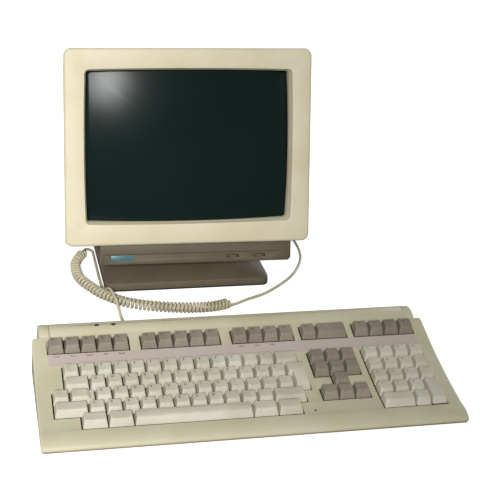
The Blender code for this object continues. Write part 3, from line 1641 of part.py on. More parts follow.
def build_dish(parent):
    """The dish on its stem, and the spring clip that holds the stem in the foot."""
    base, plate_top, plate_low = dish_heights()
    bowl = dome_radius + seat_gap
    profile = sphere_points(bowl, dish_radius, 4)
    rim = profile[0][1]
    clip_top = plate_low - seat_gap
    clip_low = clip_top - clip_height
    outer = [
        (dish_radius + dish_rim, rim),
        (dish_base_radius, base + dish_rim),
        (dish_base_radius, base),
        (stem_radius, base),
        (stem_radius, clip_top + seat_gap / 2),
        (groove_radius, clip_top + seat_gap / 2),
        (groove_radius, clip_low - seat_gap),
        (stem_radius, clip_low - seat_gap),
        (stem_radius, clip_low - stem_tip),
    ]
    loops = turned_loops(profile[::-1] + outer)
    mesh = bmesh.new()
    rows = [[mesh.verts.new(point) for point in loop] for loop in loops]
    for low, high in zip(rows, rows[1:]):
        for i in range(facet_count):
            j = (i + 1) % facet_count
            mesh.faces.new((low[i], low[j], high[j], high[i]))
    pole = mesh.verts.new((0, 0, -bowl))
    for i in range(facet_count):
        mesh.faces.new((rows[0][(i + 1) % facet_count], rows[0][i], pole))
    mesh.faces.new(rows[-1])
    finish("swivel_dish", mesh, "grey_brown", parent)

    inner, outer_radius = groove_radius + seat_gap, clip_radius
    corners = [(inner, clip_low), (outer_radius, clip_low), (outer_radius, clip_top), (inner, clip_top)]
    sections = []
    for angle in np.linspace(clip_mouth / 2, math.tau - clip_mouth / 2, 19):
        sections.append([Vector((r * math.cos(angle), r * math.sin(angle), z)) for r, z in corners])
    finish("swivel_clip", add_loft(bmesh.new(), sections), "steel", parent)


def build_foot(parent):
    """The square foot: a thin lip, four sloping faces and a round plateau with the bore."""
    base, plate_top, plate_low = dish_heights()
    ring_top = strip_height - ball_height
    rim = ring_top + seat_gap
    lip = foot_lip_top - ball_height
    bore = stem_radius + seat_gap

    def square(half, height):
        return level(rounded_rect(half, half, foot_corner, foot_step_count), height)

    def circle(radius, height):
        return level([(radius * u, radius * v) for u, v in directions], height)

    directions = []
    for quarter in range(4):
        for step in range(foot_step_count + 1):
            angle = math.radians(90 * (quarter + (step + 0.5) / (foot_step_count + 1)))
            directions.append((math.cos(angle), math.sin(angle)))
    loops = [
        square(foot_half_width, rim),
        square(foot_half_width - foot_draw, lip),
        circle(plateau_radius, plate_top),
        circle(bore, plate_top),
        circle(bore, plate_low),
        circle(plateau_radius - foot_plate, plate_low),
        square(foot_half_width - foot_wall - foot_draw, lip - foot_plate),
        square(foot_half_width - foot_wall, rim),
    ]
    finish("foot_base", add_loft(bmesh.new(), loops, ring=True), "grey_brown", parent)
    inset = (foot_wall - ring_width) / 2
    ring = [
        square(foot_half_width - inset, -ball_height),
        square(foot_half_width - inset, ring_top),
        square(foot_half_width - inset - ring_width, ring_top),
        square(foot_half_width - inset - ring_width, -ball_height),
    ]
    finish("foot_rubber_ring", add_loft(bmesh.new(), ring, ring=True), "rubber", parent)


# Cord


def smooth_route(points, spacing, bend=math.tau):
    """A smooth curve through hand-chosen points, read at a spacing that is shorter where it bends."""
    points = [Vector(point) for point in points]
    ends = [points[0] * 2 - points[1]] + points + [points[-1] * 2 - points[-2]]
    dense = []
    for a, b, c, d in zip(ends, ends[1:], ends[2:], ends[3:]):
        for step in range(24):
            t = step / 24
            square, cube = t * t, t**3
            curve = 2 * b + (c - a) * t + (2 * a - 5 * b + 4 * c - d) * square
            dense.append((curve + (3 * b - a - 3 * c + d) * cube) / 2)
    dense.append(points[-1])
    length = 0.0
    costs = [0.0]
    heading = (dense[1] - dense[0]).normalized()
    for a, b in zip(dense, dense[1:]):
        step = b - a
        length += step.length
        turned = heading.angle(step, 0.0)
        heading = step.normalized()
        costs.append(costs[-1] + step.length / spacing + turned / bend)
    wanted = np.linspace(0, costs[-1], max(2, round(costs[-1])) + 1)
    axes = [np.interp(wanted, costs, [point[k] for point in dense]) for k in range(3)]
    return [Vector(point) for point in zip(*axes)], length


def cord_object(name, points, resolution, parent):
    """A tube along the points, its ends filled."""
    curve = bpy.data.curves.new(name, "CURVE")
    curve.dimensions = "3D"
    curve.bevel_depth = cord_radius
    curve.bevel_resolution = resolution
    curve.use_fill_caps = True
    spline = curve.splines.new("POLY")
    spline.points.add(len(points) - 1)
    for target, point in zip(spline.points, points):
        target.co = (*point, 1.0)
    curve.materials.append(material(name, "cord"))
    made = bpy.data.objects.new(name, curve)
    bpy.context.scene.collection.objects.link(made)
    made.parent = parent
    return made


def on_table(plan):
    """Points of a lead's middle line, from places and lifts off the table in millimetres."""
    return [(x * MM, y * MM, cord_radius + table_lift + lift * MM) for x, y, lift in plan]


def curl_route():
    """Middle line of the curly stretch, as it lies on the table."""
    centre = curl_outer_radius + table_lift
    return [(x * MM, y * MM, centre) for x, y in curl_plan]


def build_curls(parent):
    """One unbroken tube wound along its route, drawn in to a straight end at each side."""
    line, length = smooth_route(curl_route(), route_spacing)
    winding = curl_outer_radius - cord_radius
    lead_in = curl_outer_radius * 2
    total = curl_count * points_per_curl
    count = len(line) - 1

    def at(share):
        place = share * count
        index = min(int(place), count - 1)
        return line[index].lerp(line[index + 1], place - index)

    points = []
    sink = Vector((0, 0, winding))
    for i in range(total + 1):
        share = i / total
        along = share * (length - lead_in * 2) + lead_in
        s = along / length
        middle = at(s)
        ahead = (at(min(s + cord_reach_share, 1.0)) - at(max(s - cord_reach_share, 0.0))).normalized()
        sideways = ahead.cross(Vector((0, 0, 1))).normalized()
        above = sideways.cross(ahead)
        angle = math.tau * curl_count * share - math.pi / 2
        points.append(middle + (sideways * math.cos(angle) + above * math.sin(angle)) * winding)
    start = at(0.0) - sink
    end = at(1.0) - sink
    first = (at(cord_reach_share) - at(0.0)).normalized()
    last = (at(1.0) - at(1.0 - cord_reach_share)).normalized()
    points = [start, start + first * cord_radius * 2] + points + [end - last * cord_radius * 2, end]
    gap = least_gap(points)
    print(f"curly cord: {curl_count} curls, least gap to itself {gap / MM:.2f} mm")
    wire = sum((b - a).length for a, b in zip(points, points[1:]))
    print(f"curly cord: wire {wire:.3f} m, along its route {length:.3f} m")
    cord_object("curly_cord", points, 1, parent)
    return start, first, end, last


def least_gap(points):
    """Least clear distance between turns, measured between points more than half a turn apart."""
    places = np.array([tuple(point) for point in points])
    least = math.inf
    apart = points_per_curl // 2 + 1
    for i in range(len(places) - apart):
        distances = np.linalg.norm(places[i + apart :] - places[i], axis=1)
        least = min(least, distances.min())
    return least - cord_radius * 2


def build_plug(name, parent, place):
    """A modular plug: a square body, then a tapered sleeve that ends square to the cord."""
    tip = cord_radius + seat_gap * 2
    mesh = bmesh.new()
    sections = [
        (plug_width / 2, plug_height / 2, -plug_inside),
        (plug_width / 2, plug_height / 2, plug_outside - plug_sleeve + seat_gap),
        (
            plug_width / 2 * plug_sleeve_share,
            plug_height / 2 * plug_sleeve_share,
            plug_outside - plug_sleeve + seat_gap,
        ),
        (tip, tip, plug_outside),
    ]
    loops = [upright(rounded_rect(w, h, h / 3, 1), depth) for w, h, depth in sections]
    add_loft(mesh, loops)
    return finish(name, mesh, "black", parent, place)


def settle(line):
    """Keeps a lead's middle line from dipping into the table."""
    for point in line:
        point.z = max(point.z, cord_radius + table_lift)


def build_cord(root, head, frame_of):
    """Both plugs, the lead from the keyboard, the curls, and the lead to the monitor."""
    back_wall = bar_point(bar_radius, math.radians(-20))[0] + seat_gap
    build_plug("keyboard_plug", root, (plug_exit_across, back_wall, keyboard_plug_height))
    jack_mouth = housing_depth + seat_gap + socket_lip
    build_plug("terminal_plug", head, (0, jack_mouth, socket_line()))
    start, first, end, last = build_curls(root)

    exit_point = Vector((plug_exit_across, back_wall + plug_outside + seat_gap, keyboard_plug_height))
    away = Vector((0, 1, 0))
    straight = cord_radius * 2
    dip = Vector((0, 0, plug_dip))
    points = [exit_point, exit_point + away * straight, exit_point + away * straight * 2.4 - dip]
    points += on_table(keyboard_lead_plan)
    meeting = start - first * seat_gap
    points += [meeting - first * straight, meeting]
    line, length = smooth_route(points, cord_radius * lead_spacing_share, lead_bend)
    settle(line)
    line[1] = line[0] + away * straight
    line[-2] = line[-1] - first * straight
    print(f"keyboard lead: {length:.3f} m")
    cord_object("keyboard_lead", line, 2, root)

    outward = (frame_of @ Vector((0, 1, 0)) - frame_of @ Vector((0, 0, 0))).normalized()
    plug_end = frame_of @ Vector((0, jack_mouth + plug_outside + seat_gap, socket_line()))
    meeting = end + last * seat_gap
    points = [meeting, meeting + last * straight, meeting + last * straight * 2]
    points += on_table(terminal_lead_plan)
    droop = Vector((plug_sway, 0, -plug_droop))
    points += [plug_end + outward * plug_slack + droop, plug_end + outward * straight * 2]
    points += [plug_end + outward * straight, plug_end]
    line, length = smooth_route(points, cord_radius * tail_spacing_share, lead_bend)
    settle(line)
    line[1] = line[0] + last * straight
    line[-2] = line[-1] + outward * straight
    print(f"terminal lead: {length:.3f} m")
    cord_object("terminal_lead", line, 2, root)


def centre_on_footprint(root, cord_pieces):
    """Moves the whole terminal so that the middle of its footprint, cord apart, is the origin."""
    bpy.context.view_layer.update()
    graph = bpy.context.evaluated_depsgraph_get()
    low, high = Vector((math.inf,) * 3), Vector((-math.inf,) * 3)
    for piece in bpy.context.scene.objects:
        if piece.type != "MESH" or piece.hide_render or piece.name in cord_pieces:
            continue
        shape = piece.evaluated_get(graph)
        for vertex in shape.data.vertices:
            point = piece.matrix_world @ vertex.co
            low = Vector(map(min, low, point))
            high = Vector(map(max, high, point))
    root.location = (-(low.x + high.x) / 2, -(low.y + high.y) / 2, -low.z)
    bpy.context.view_layer.update()
    print("footprint", [round(value, 5) for value in (*low, *high)])


def report_joints(empties):
    """Prints the joints' places and directions for whoever uses the part."""
    root = bpy.data.objects["terminal"]
    for name, piece in empties.items():
        place = piece.matrix_world.translation
        print("place", name, [round(value, 6) for value in place])
    for name, (colour, keys) in key_group_shares.items():
        angle = surface_angle(group_middle(keys))
        print("stroke", name, [0, round(math.sin(angle), 6), round(-math.cos(angle), 6)])
    print("root", [round(value, 6) for value in root.location])


def main():
    for piece in list(bpy.data.objects):
        bpy.data.objects.remove(piece)
    root = empty("terminal", None)
    build_keyboard(root)
    build_keys(root)
    swivel = empty("swivel_axis", root, (ball_across, ball_depth, ball_height), (0, 0, rest_yaw))
    base = empty("foot_frame", root, (ball_across, ball_depth, ball_height))
    tilt = empty("tilt_axis", swivel, (0, 0, 0), (-rest_tilt, 0, 0))
    head = empty("head_frame", tilt, (0, -screen_ahead, screen_above))
    build_foot(base)
    build_dish(swivel)
    build_dome(tilt)
    for build in (
        build_bezel,
        build_rear_housing,
        build_tray,
        build_tube,
        build_band,
        build_yoke,
        build_socket_board,
        build_boards,
        build_sockets,
    ):
        build(head)
    build_wheel("brightness_wheel", 0, head)
    build_wheel("contrast_wheel", 1, head)
    bpy.context.view_layer.update()
    build_cord(root, head, head.matrix_world.copy())
    centre_on_footprint(root, {"keyboard_plug", "terminal_plug"})
    report_joints(
        {
            "swivel_axis": swivel,
            "tilt_axis": tilt,
            "head_frame": head,
            "brightness_wheel": bpy.data.objects["brightness_wheel"],
            "contrast_wheel": bpy.data.objects["contrast_wheel"],
            "power_switch": bpy.data.objects["power_switch"],
            "left_height_foot": bpy.data.objects["left_height_foot"],
            "right_height_foot": bpy.data.objects["right_height_foot"],
        }
    )


main()
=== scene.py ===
"""Dresses the text terminal: a monitor on a ball foot, its dished keyboard and their coiled cord.

Lengths are in metres. The keyboard is drawn in its own frame, whose depth starts at the front edge
of the lowest key row, and the monitor in the frame of its screen, which is turned and tilted.
"""

from __future__ import annotations

import logging
import math
from dataclasses import dataclass, field
from enum import Enum
from typing import Iterable, Sequence

import bmesh
import bpy
from mathutils import Matrix, Vector

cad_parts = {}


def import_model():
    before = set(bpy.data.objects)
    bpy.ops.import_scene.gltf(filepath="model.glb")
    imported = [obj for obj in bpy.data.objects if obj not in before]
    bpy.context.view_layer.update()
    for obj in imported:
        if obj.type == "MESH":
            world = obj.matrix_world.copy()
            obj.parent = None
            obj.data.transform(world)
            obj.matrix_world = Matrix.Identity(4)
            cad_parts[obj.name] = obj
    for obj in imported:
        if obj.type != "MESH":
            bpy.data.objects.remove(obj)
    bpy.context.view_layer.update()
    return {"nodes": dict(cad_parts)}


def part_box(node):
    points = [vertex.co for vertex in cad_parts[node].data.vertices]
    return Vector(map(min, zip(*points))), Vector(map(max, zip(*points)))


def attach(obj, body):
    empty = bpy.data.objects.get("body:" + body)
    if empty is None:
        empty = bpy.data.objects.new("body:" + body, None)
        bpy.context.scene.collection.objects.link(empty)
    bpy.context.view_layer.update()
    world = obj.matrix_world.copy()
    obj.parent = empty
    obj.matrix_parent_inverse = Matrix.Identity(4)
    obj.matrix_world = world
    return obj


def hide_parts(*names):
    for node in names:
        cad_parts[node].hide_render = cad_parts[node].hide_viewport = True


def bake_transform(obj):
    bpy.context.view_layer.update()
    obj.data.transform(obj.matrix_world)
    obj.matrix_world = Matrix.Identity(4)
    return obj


log = logging.getLogger("terminal")

MM = 0.001
# Points of one piece that lie nearer to each other than this are joined
WELD = 0.002 * MM
# An edge may be this many degrees sharper than a rounded one before its shading breaks
SHADE_MARGIN = 8.0
Loop = list[Vector]
Plan = list[tuple[float, float]]


class Body(Enum):
    """The moving bodies of the terminal that whole sub-assemblies ride on."""

    STAND = "stand_and_keyboard"
    STAGE = "swivel_stage"
    MONITOR = "monitor"


class Axis(Enum):
    """The axis that a circle goes round."""

    X = "X"
    Z = "Z"


class Joining(Enum):
    """What closed shapes do to the piece that they meet."""

    CUT = "DIFFERENCE"
    UNITE = "UNION"


# Nodes of materials


def linear(colour: str) -> tuple[float, float, float, float]:
    """Turns an sRGB hex colour into the linear values that a shader takes.

    Args:
        colour: six hex digits after a hash sign.

    Returns:
        Linear red, green and blue, and an alpha of one.
    """
    parts = [int(colour[i : i + 2], 16) / 255 for i in (1, 3, 5)]
    red, green, blue = (c / 12.92 if c <= 0.04045 else ((c + 0.055) / 1.055) ** 2.4 for c in parts)
    return red, green, blue, 1.0


def add_node(
    tree: bpy.types.NodeTree,
    kind: str,
    settings: dict[str | int, object] | None = None,
    links: dict[str | int, bpy.types.NodeSocket] | None = None,
) -> bpy.types.Node:
    """Adds a node with its settings and the links into it.

    Args:
        tree: the node tree to add to.
        kind: Blender's name of the node type.
        settings: values of sockets, by name or index, or of the node's own properties.
        links: output sockets by the name or index of the input that each feeds.

    Returns:
        The new node.
    """
    node = tree.nodes.new(kind)
    for name, value in (settings or {}).items():
        if isinstance(name, int) or name in node.inputs:
            node.inputs[name].default_value = value
        else:
            setattr(node, name, value)
    for name, socket in (links or {}).items():
        tree.links.new(socket, node.inputs[name])
    return node


def bare_material(name: str) -> tuple[bpy.types.Material, bpy.types.NodeTree]:
    """Makes a material with an empty node tree.

    Args:
        name: the material's name.

    Returns:
        The material and its node tree.
    """
    made = bpy.data.materials.new(name)
    made.use_nodes = True
    made.node_tree.nodes.clear()
    return made, made.node_tree


@dataclass(frozen=True)
class Moulded:
    """A moulded plastic: one colour, aged in wide soft patches, with a fine sparked grain.

    The sparked grain of a real case is about 0.2 mm wide, so it is drawn some five times as coarse,
    which is the least that shows in the render.
    """

    name: str
    colour: str
    aged: str
    roughness: float = 0.46
    patch: float = 70 * MM
    grain: float = 1.1 * MM
    grain_depth: float = 0.05 * MM
    soil: float = 0.1
    specular: float = 0.5
    grime: str = "#8A7A5C"
    aged_between: tuple[float, float] = (0.38, 0.68)
    soiled_between: tuple[float, float] = (0.55, 0.8)
    specks_in_patch: float = 9.0
    dullest: float = 0.07
    glossiest: float = 0.05
    ior: float = 1.5

    def build(self) -> bpy.types.Material:
        """Builds the material: patches of age, specks of handling and the grain that breaks the gloss.

        Returns:
            The material.
        """
        made, tree = bare_material(self.name)
        where = add_node(tree, "ShaderNodeTexCoord").outputs["Object"]
        patches = add_node(
            tree,
            "ShaderNodeTexNoise",
            {"Scale": 1 / self.patch, "Detail": 3.0, "Roughness": 0.55},
            {"Vector": where},
        )
        young, old = self.aged_between
        spread = add_node(
            tree,
            "ShaderNodeMapRange",
            {"From Min": young, "From Max": old, "To Min": 0.0, "To Max": 1.0},
            {"Value": patches.outputs["Fac"]},
        )
        tone = add_node(
            tree,
            "ShaderNodeMix",
            {"data_type": "RGBA", 6: linear(self.colour), 7: linear(self.aged)},
            {0: spread.outputs["Result"]},
        )
        specks = add_node(
            tree,
            "ShaderNodeTexNoise",
            {"Scale": 1 / (self.patch / self.specks_in_patch), "Detail": 6.0, "Roughness": 0.7},
            {"Vector": where},
        )
        low, high = self.soiled_between
        handled = add_node(
            tree,
            "ShaderNodeMapRange",
            {"From Min": low, "From Max": high, "To Min": 0.0, "To Max": self.soil},
            {"Value": specks.outputs["Fac"]},
        )
        soiled = add_node(
            tree,
            "ShaderNodeMix",
            {"data_type": "RGBA", "blend_type": "MULTIPLY", 7: linear(self.grime)},
            {0: handled.outputs["Result"], 6: tone.outputs[2]},
        )
        grain = add_node(
            tree,
            "ShaderNodeTexNoise",
            {"Scale": 1 / self.grain, "Detail": 2.0, "Roughness": 0.5},
            {"Vector": where},
        )
        bump = add_node(
            tree,
            "ShaderNodeBump",
            {"Strength": 0.35, "Distance": self.grain_depth},
            {"Height": grain.outputs["Fac"]},
        )
        gloss = add_node(
            tree,
            "ShaderNodeMapRange",
            {"To Min": self.roughness - self.glossiest, "To Max": self.roughness + self.dullest},
            {"Value": specks.outputs["Fac"]},
        )
        shader = add_node(
            tree,
            "ShaderNodeBsdfPrincipled",
            {"IOR": self.ior, "Specular IOR Level": self.specular},
            {
                "Base Color": soiled.outputs[2],
                "Roughness": gloss.outputs["Result"],
                "Normal": bump.outputs["Normal"],
            },
        )
        add_node(tree, "ShaderNodeOutputMaterial", {}, {"Surface": shader.outputs["BSDF"]})
        return made


@dataclass(frozen=True)
class TubeGlass:
    """Tinted tube glass with a fine etched anti-glare face over a dark phosphor.

    The etch of a real tube is some hundredths of a millimetre wide, so it is drawn as coarse as it
    needs to show.
    """

    name: str = "etched_tube_glass"
    dark: str = "#101C1A"
    light: str = "#172421"
    roughness: float = 0.2
    specular: float = 0.055
    haze: float = 160 * MM
    etch: float = 0.8 * MM
    etch_depth: float = 0.02 * MM
    ior: float = 1.52

    def build(self) -> bpy.types.Material:
        """Builds the material: near black, slightly green, with a soft sheen from the etch.

        Returns:
            The material.
        """
        made, tree = bare_material(self.name)
        where = add_node(tree, "ShaderNodeTexCoord").outputs["Object"]
        haze = add_node(
            tree,
            "ShaderNodeTexNoise",
            {"Scale": 1 / self.haze, "Detail": 1.0},
            {"Vector": where},
        )
        tone = add_node(
            tree,
            "ShaderNodeMix",
            {"data_type": "RGBA", 6: linear(self.dark), 7: linear(self.light)},
            {0: haze.outputs["Fac"]},
        )
        etched = add_node(
            tree,
            "ShaderNodeTexNoise",
            {"Scale": 1 / self.etch, "Detail": 2.0},
            {"Vector": where},
        )
        bump = add_node(
            tree,
            "ShaderNodeBump",
            {"Strength": 0.12, "Distance": self.etch_depth},
            {"Height": etched.outputs["Fac"]},
        )
        shader = add_node(
            tree,
            "ShaderNodeBsdfPrincipled",
            {"Roughness": self.roughness, "IOR": self.ior, "Specular IOR Level": self.specular},
            {"Base Color": tone.outputs[2], "Normal": bump.outputs["Normal"]},
        )
        add_node(tree, "ShaderNodeOutputMaterial", {}, {"Surface": shader.outputs["BSDF"]})
        return made


@dataclass(frozen=True)
class Metal:
    """Plated or wound metal, brushed along one direction."""

    name: str
    colour: str
    roughness: float = 0.35
    streak: float = 1.5 * MM
    stretch: float = 20.0
    glossiest: float = 0.1
    dullest: float = 0.15

    def build(self) -> bpy.types.Material:
        """Builds the material: streaks that change the gloss, as rolling leaves them on sheet.

        Returns:
            The material.
        """
        made, tree = bare_material(self.name)
        where = add_node(tree, "ShaderNodeTexCoord").outputs["Object"]
        drawn = add_node(
            tree,
            "ShaderNodeMapping",
            {"Scale": (1.0, self.stretch, self.stretch)},
            {"Vector": where},
        )
        streaks = add_node(
            tree,
            "ShaderNodeTexNoise",
            {"Scale": 1 / (self.streak * self.stretch), "Detail": 3.0},
            {"Vector": drawn.outputs["Vector"]},
        )
        gloss = add_node(
            tree,
            "ShaderNodeMapRange",
            {"To Min": self.roughness - self.glossiest, "To Max": self.roughness + self.dullest},
            {"Value": streaks.outputs["Fac"]},
        )
        shader = add_node(
            tree,
            "ShaderNodeBsdfPrincipled",
            {"Base Color": linear(self.colour), "Metallic": 1.0},
            {"Roughness": gloss.outputs["Result"]},
        )
        add_node(tree, "ShaderNodeOutputMaterial", {}, {"Surface": shader.outputs["BSDF"]})
        return made


@dataclass(frozen=True)
class Printed:
    """A printed or lacquered skin: ink, an enamelled plate or a legend film."""

    name: str
    colour: str
    worn: str
    roughness: float = 0.4
    wear: float = 6 * MM

    def build(self) -> bpy.types.Material:
        """Builds the material: an even colour that has faded in small patches.

        Returns:
            The material.
        """
        made, tree = bare_material(self.name)
        where = add_node(tree, "ShaderNodeTexCoord").outputs["Object"]
        faded = add_node(
            tree,
            "ShaderNodeTexNoise",
            {"Scale": 1 / self.wear, "Detail": 4.0},
            {"Vector": where},
        )
        tone = add_node(
            tree,
            "ShaderNodeMix",
            {"data_type": "RGBA", 6: linear(self.colour), 7: linear(self.worn)},
            {0: faded.outputs["Fac"]},
        )
        shader = add_node(
            tree,
            "ShaderNodeBsdfPrincipled",
            {"Roughness": self.roughness},
            {"Base Color": tone.outputs[2]},
        )
        add_node(tree, "ShaderNodeOutputMaterial", {}, {"Surface": shader.outputs["BSDF"]})
        return made


class Finish(Enum):
    """Every finish of the terminal, each built once as it is first asked for."""

    # Injection-moulded ABS, yellowed by light: a warm cream that stays dull, without a sharp reflection
    BEZEL = Moulded("yellowed_moulded_abs", "#D5CCB1", "#CDC3A3", 0.46, specular=0.4)
    # The same ABS with years of handling: slightly greyer and greener, with faint darker clouds
    CASE = Moulded("handled_moulded_abs", "#C6C1A5", "#BEB898", 0.45, specular=0.4)
    # Moulded PBT in pale grey: chalky and matt, so each finger dish shades softly
    LIGHT_KEY = Moulded("pale_moulded_pbt", "#C8C4B2", "#B8B39E", 0.5, 45 * MM, 0.9 * MM)
    # The same PBT coloured through: grey-brown, matt, with no shine on its edges
    DARK_KEY = Moulded("brown_grey_moulded_pbt", "#8E8575", "#7F7666", 0.5, 45 * MM, 0.9 * MM)
    # ABS from a deeply sparked mould: dark and nearly without gloss, so the chin recedes
    CHIN = Moulded("sparked_grey_brown_abs", "#655C49", "#5A5141", 0.55, specular=0.3)
    # Plain ABS of the hidden base: a warmer grey that reads as shade below the case
    UNDERSIDE = Moulded("plain_grey_beige_abs", "#8F8470", "#857963", 0.5)
    # The cut edge of that base: a thin brown line under the keyboard's front
    SEAM = Moulded("brown_edge_abs", "#9A8872", "#8C7A64", 0.5)
    # Glass-filled nylon of the sockets, near black with a soft gloss on its rims; the same black is the
    # painted shade in the chin's groove and the sounder hole
    BLACK = Moulded("black_nylon_and_painted_shade", "#1B1B1A", "#232322", 0.4, 30 * MM)
    # Moulded rubber: black and matt enough to lose every reflection
    RUBBER = Moulded("black_moulded_rubber", "#1E1E1D", "#262625", 0.8, 20 * MM)
    # Extruded PVC sleeve: beige with a slight gloss, so each curl carries a small highlight
    CORD = Moulded("beige_extruded_pvc", "#C0B89C", "#ADA485", 0.42, 25 * MM, 1.0 * MM)
    # Solder lacquer on epoxy glass: deep green and the glossiest of the plastics
    BOARD = Moulded("green_solder_lacquer", "#1F5A33", "#1A4C2B", 0.35)
    # Tinted glass with an etched face: near black and green, where a lamp is only a soft spot
    GLASS = TubeGlass()
    # Zinc-plated rolled steel: light grey, with fine streaks along its rolling
    STEEL = Metal("plated_sheet_steel", "#B4B6B8")
    # Rolled steel darkened to paint the shade in the gaps between the keys, with a dull metal sheen
    PAINTED_SHADE_STEEL = Metal("steel_darkened_as_painted_shade", "#3C3A37", 0.5)
    # Varnished copper wire, wound: orange brown that shines in streaks
    COPPER = Metal("varnished_copper_winding", "#9A5B34", 0.4)
    # Screen-printed ink: flat dark brown, a little faded in small patches
    INK = Printed("dark_brown_printing_ink", "#2E2A24", "#4A443A", 0.6)
    # Printed polyester film: smooth mauve grey, slightly glossier than the case round it
    FILM = Printed("mauve_grey_polyester_film", "#C2B4AC", "#BBAEA2", 0.38, 30 * MM)
    # Enamelled aluminium: an even teal skin that catches the light at its edge
    PLATE = Printed("teal_enamelled_aluminium", "#386267", "#4C7A7C", 0.35, 12 * MM)

    def material(self) -> bpy.types.Material:
        """Gives the finish's material, which is built the first time."""
        return bpy.data.materials.get(self.value.name) or self.value.build()


# Shapes


def rounded_rect(
    half_width: float,
    half_height: float,
    radius: float,
    steps: int = 8,
    centre: tuple[float, float] = (0.0, 0.0),
    bow: float = 0.0,
    middles: int = 0,
) -> Plan:
    """Points of a rounded rectangle, anticlockwise.

    Args:
        half_width: half its width.
        half_height: half its height.
        radius: corner radius.
        steps: segments in each corner.
        centre: its middle.
        bow: how far the middle of each side swells out.
        middles: extra points along each side.

    Returns:
        The points, starting on the right side at the upper corner.
    """
    radius = min(radius, half_width, half_height)
    sides = ((1, 1, 0), (-1, 1, 90), (-1, -1, 180), (1, -1, 270))
    points: Plan = []
    for index, (side, up, start) in enumerate(sides):
        for step in range(steps + 1):
            angle = math.radians(start + 90 * step / steps)
            x = side * (half_width - radius) + radius * math.cos(angle)
            points.append((x, up * (half_height - radius) + radius * math.sin(angle)))
        next_side, next_up, turned = sides[(index + 1) % 4]
        out = (math.cos(math.radians(turned)), math.sin(math.radians(turned)))
        end = (
            next_side * (half_width - radius) + radius * out[0],
            next_up * (half_height - radius) + radius * out[1],
        )
        first = points[-1]
        for k in range(1, middles + 1):
            share = k / (middles + 1)
            swell = bow * 4 * share * (1 - share)
            x = first[0] + (end[0] - first[0]) * share + out[0] * swell
            points.append((x, first[1] + (end[1] - first[1]) * share + out[1] * swell))
    return [(x + centre[0], y + centre[1]) for x, y in points]


def upright(plan: Plan, depth: float) -> Loop:
    """Lays plan points in the X Z plane at a depth."""
    return [Vector((x, depth, z)) for x, z in plan]


def level(plan: Plan, height: float) -> Loop:
    """Lays plan points in the X Y plane at a height."""
    return [Vector((x, y, height)) for x, y in plan]


def circle(radius: float, place: float, facets: int, about: Axis = Axis.Z) -> Loop:
    """A circle about an axis.

    Args:
        radius: its radius.
        place: where it lies along the axis.
        facets: its number of points.
        about: the axis.

    Returns:
        The circle's points.
    """
    loop: Loop = []
    for i in range(facets):
        turn = math.tau * i / facets
        a, b = radius * math.cos(turn), radius * math.sin(turn)
        loop.append(Vector((a, b, place) if about is Axis.Z else (place, a, b)))
    return loop


def add_loft(mesh: bmesh.types.BMesh, loops: Sequence[Loop], ring: bool = False) -> bmesh.types.BMesh:
    """Skins loops of equal count.

    Args:
        mesh: the mesh to add to.
        loops: the loops in order.
        ring: whether the last loop joins the first, instead of both ends being capped.

    Returns:
        The same mesh.
    """
    rows = [[mesh.verts.new(point) for point in loop] for loop in loops]
    pairs = list(zip(rows, rows[1:]))
    if ring:
        pairs.append((rows[-1], rows[0]))
    for low, high in pairs:
        for i in range(len(low)):
            j = (i + 1) % len(low)
            mesh.faces.new((low[i], low[j], high[j], high[i]))
    if not ring:
        mesh.faces.new(rows[0][::-1])
        mesh.faces.new(rows[-1])
    return mesh


def add_box(
    mesh: bmesh.types.BMesh,
    centre: Sequence[float],
    size: Sequence[float],
    turned: Matrix | None = None,
) -> bmesh.types.BMesh:
    """Adds a box.

    Args:
        mesh: the mesh to add to.
        centre: the box's middle.
        size: its lengths along X, Y and Z.
        turned: where it goes after that.

    Returns:
        The same mesh.
    """
    x, y, z = (length / 2 for length in size)
    middle = Vector(centre)
    corners = ((-x, -y), (x, -y), (x, y), (-x, y))
    loops = [[middle + Vector((*corner, height)) for corner in corners] for height in (-z, z)]
    if turned:
        loops = [[turned @ point for point in loop] for loop in loops]
    return add_loft(mesh, loops)


def add_object(name: str, data: bpy.types.ID) -> bpy.types.Object:
    """Links a new object to the scene, at the origin.

    Args:
        name: the object's name.
        data: its mesh, curve, lamp or camera.

    Returns:
        The object.
    """
    made = bpy.data.objects.new(name, data)
    bpy.context.scene.collection.objects.link(made)
    return made


def to_object(
    name: str,
    mesh: bmesh.types.BMesh,
    finish: Finish,
    place: Matrix | None = None,
) -> bpy.types.Object:
    """Turns a bmesh into an object at the origin.

    Args:
        name: the object's name.
        mesh: its shape, which is freed.
        finish: what it is made of.
        place: where it goes, put into its points.

    Returns:
        The object, linked to the scene.
    """
    bmesh.ops.remove_doubles(mesh, verts=mesh.verts, dist=WELD)
    bmesh.ops.recalc_face_normals(mesh, faces=mesh.faces)
    if place:
        mesh.transform(place)
    data = bpy.data.meshes.new(name)
    mesh.to_mesh(data)
    mesh.free()
    data.materials.append(finish.material())
    return add_object(name, data)


def settled_mesh(piece: bpy.types.Object) -> bpy.types.Mesh:
    """Turns an object with its modifiers into a plain mesh.

    Args:
        piece: the object, which stays as it is.

    Returns:
        The new mesh.
    """
    bpy.context.view_layer.update()
    graph = bpy.context.evaluated_depsgraph_get()
    return bpy.data.meshes.new_from_object(piece.evaluated_get(graph))


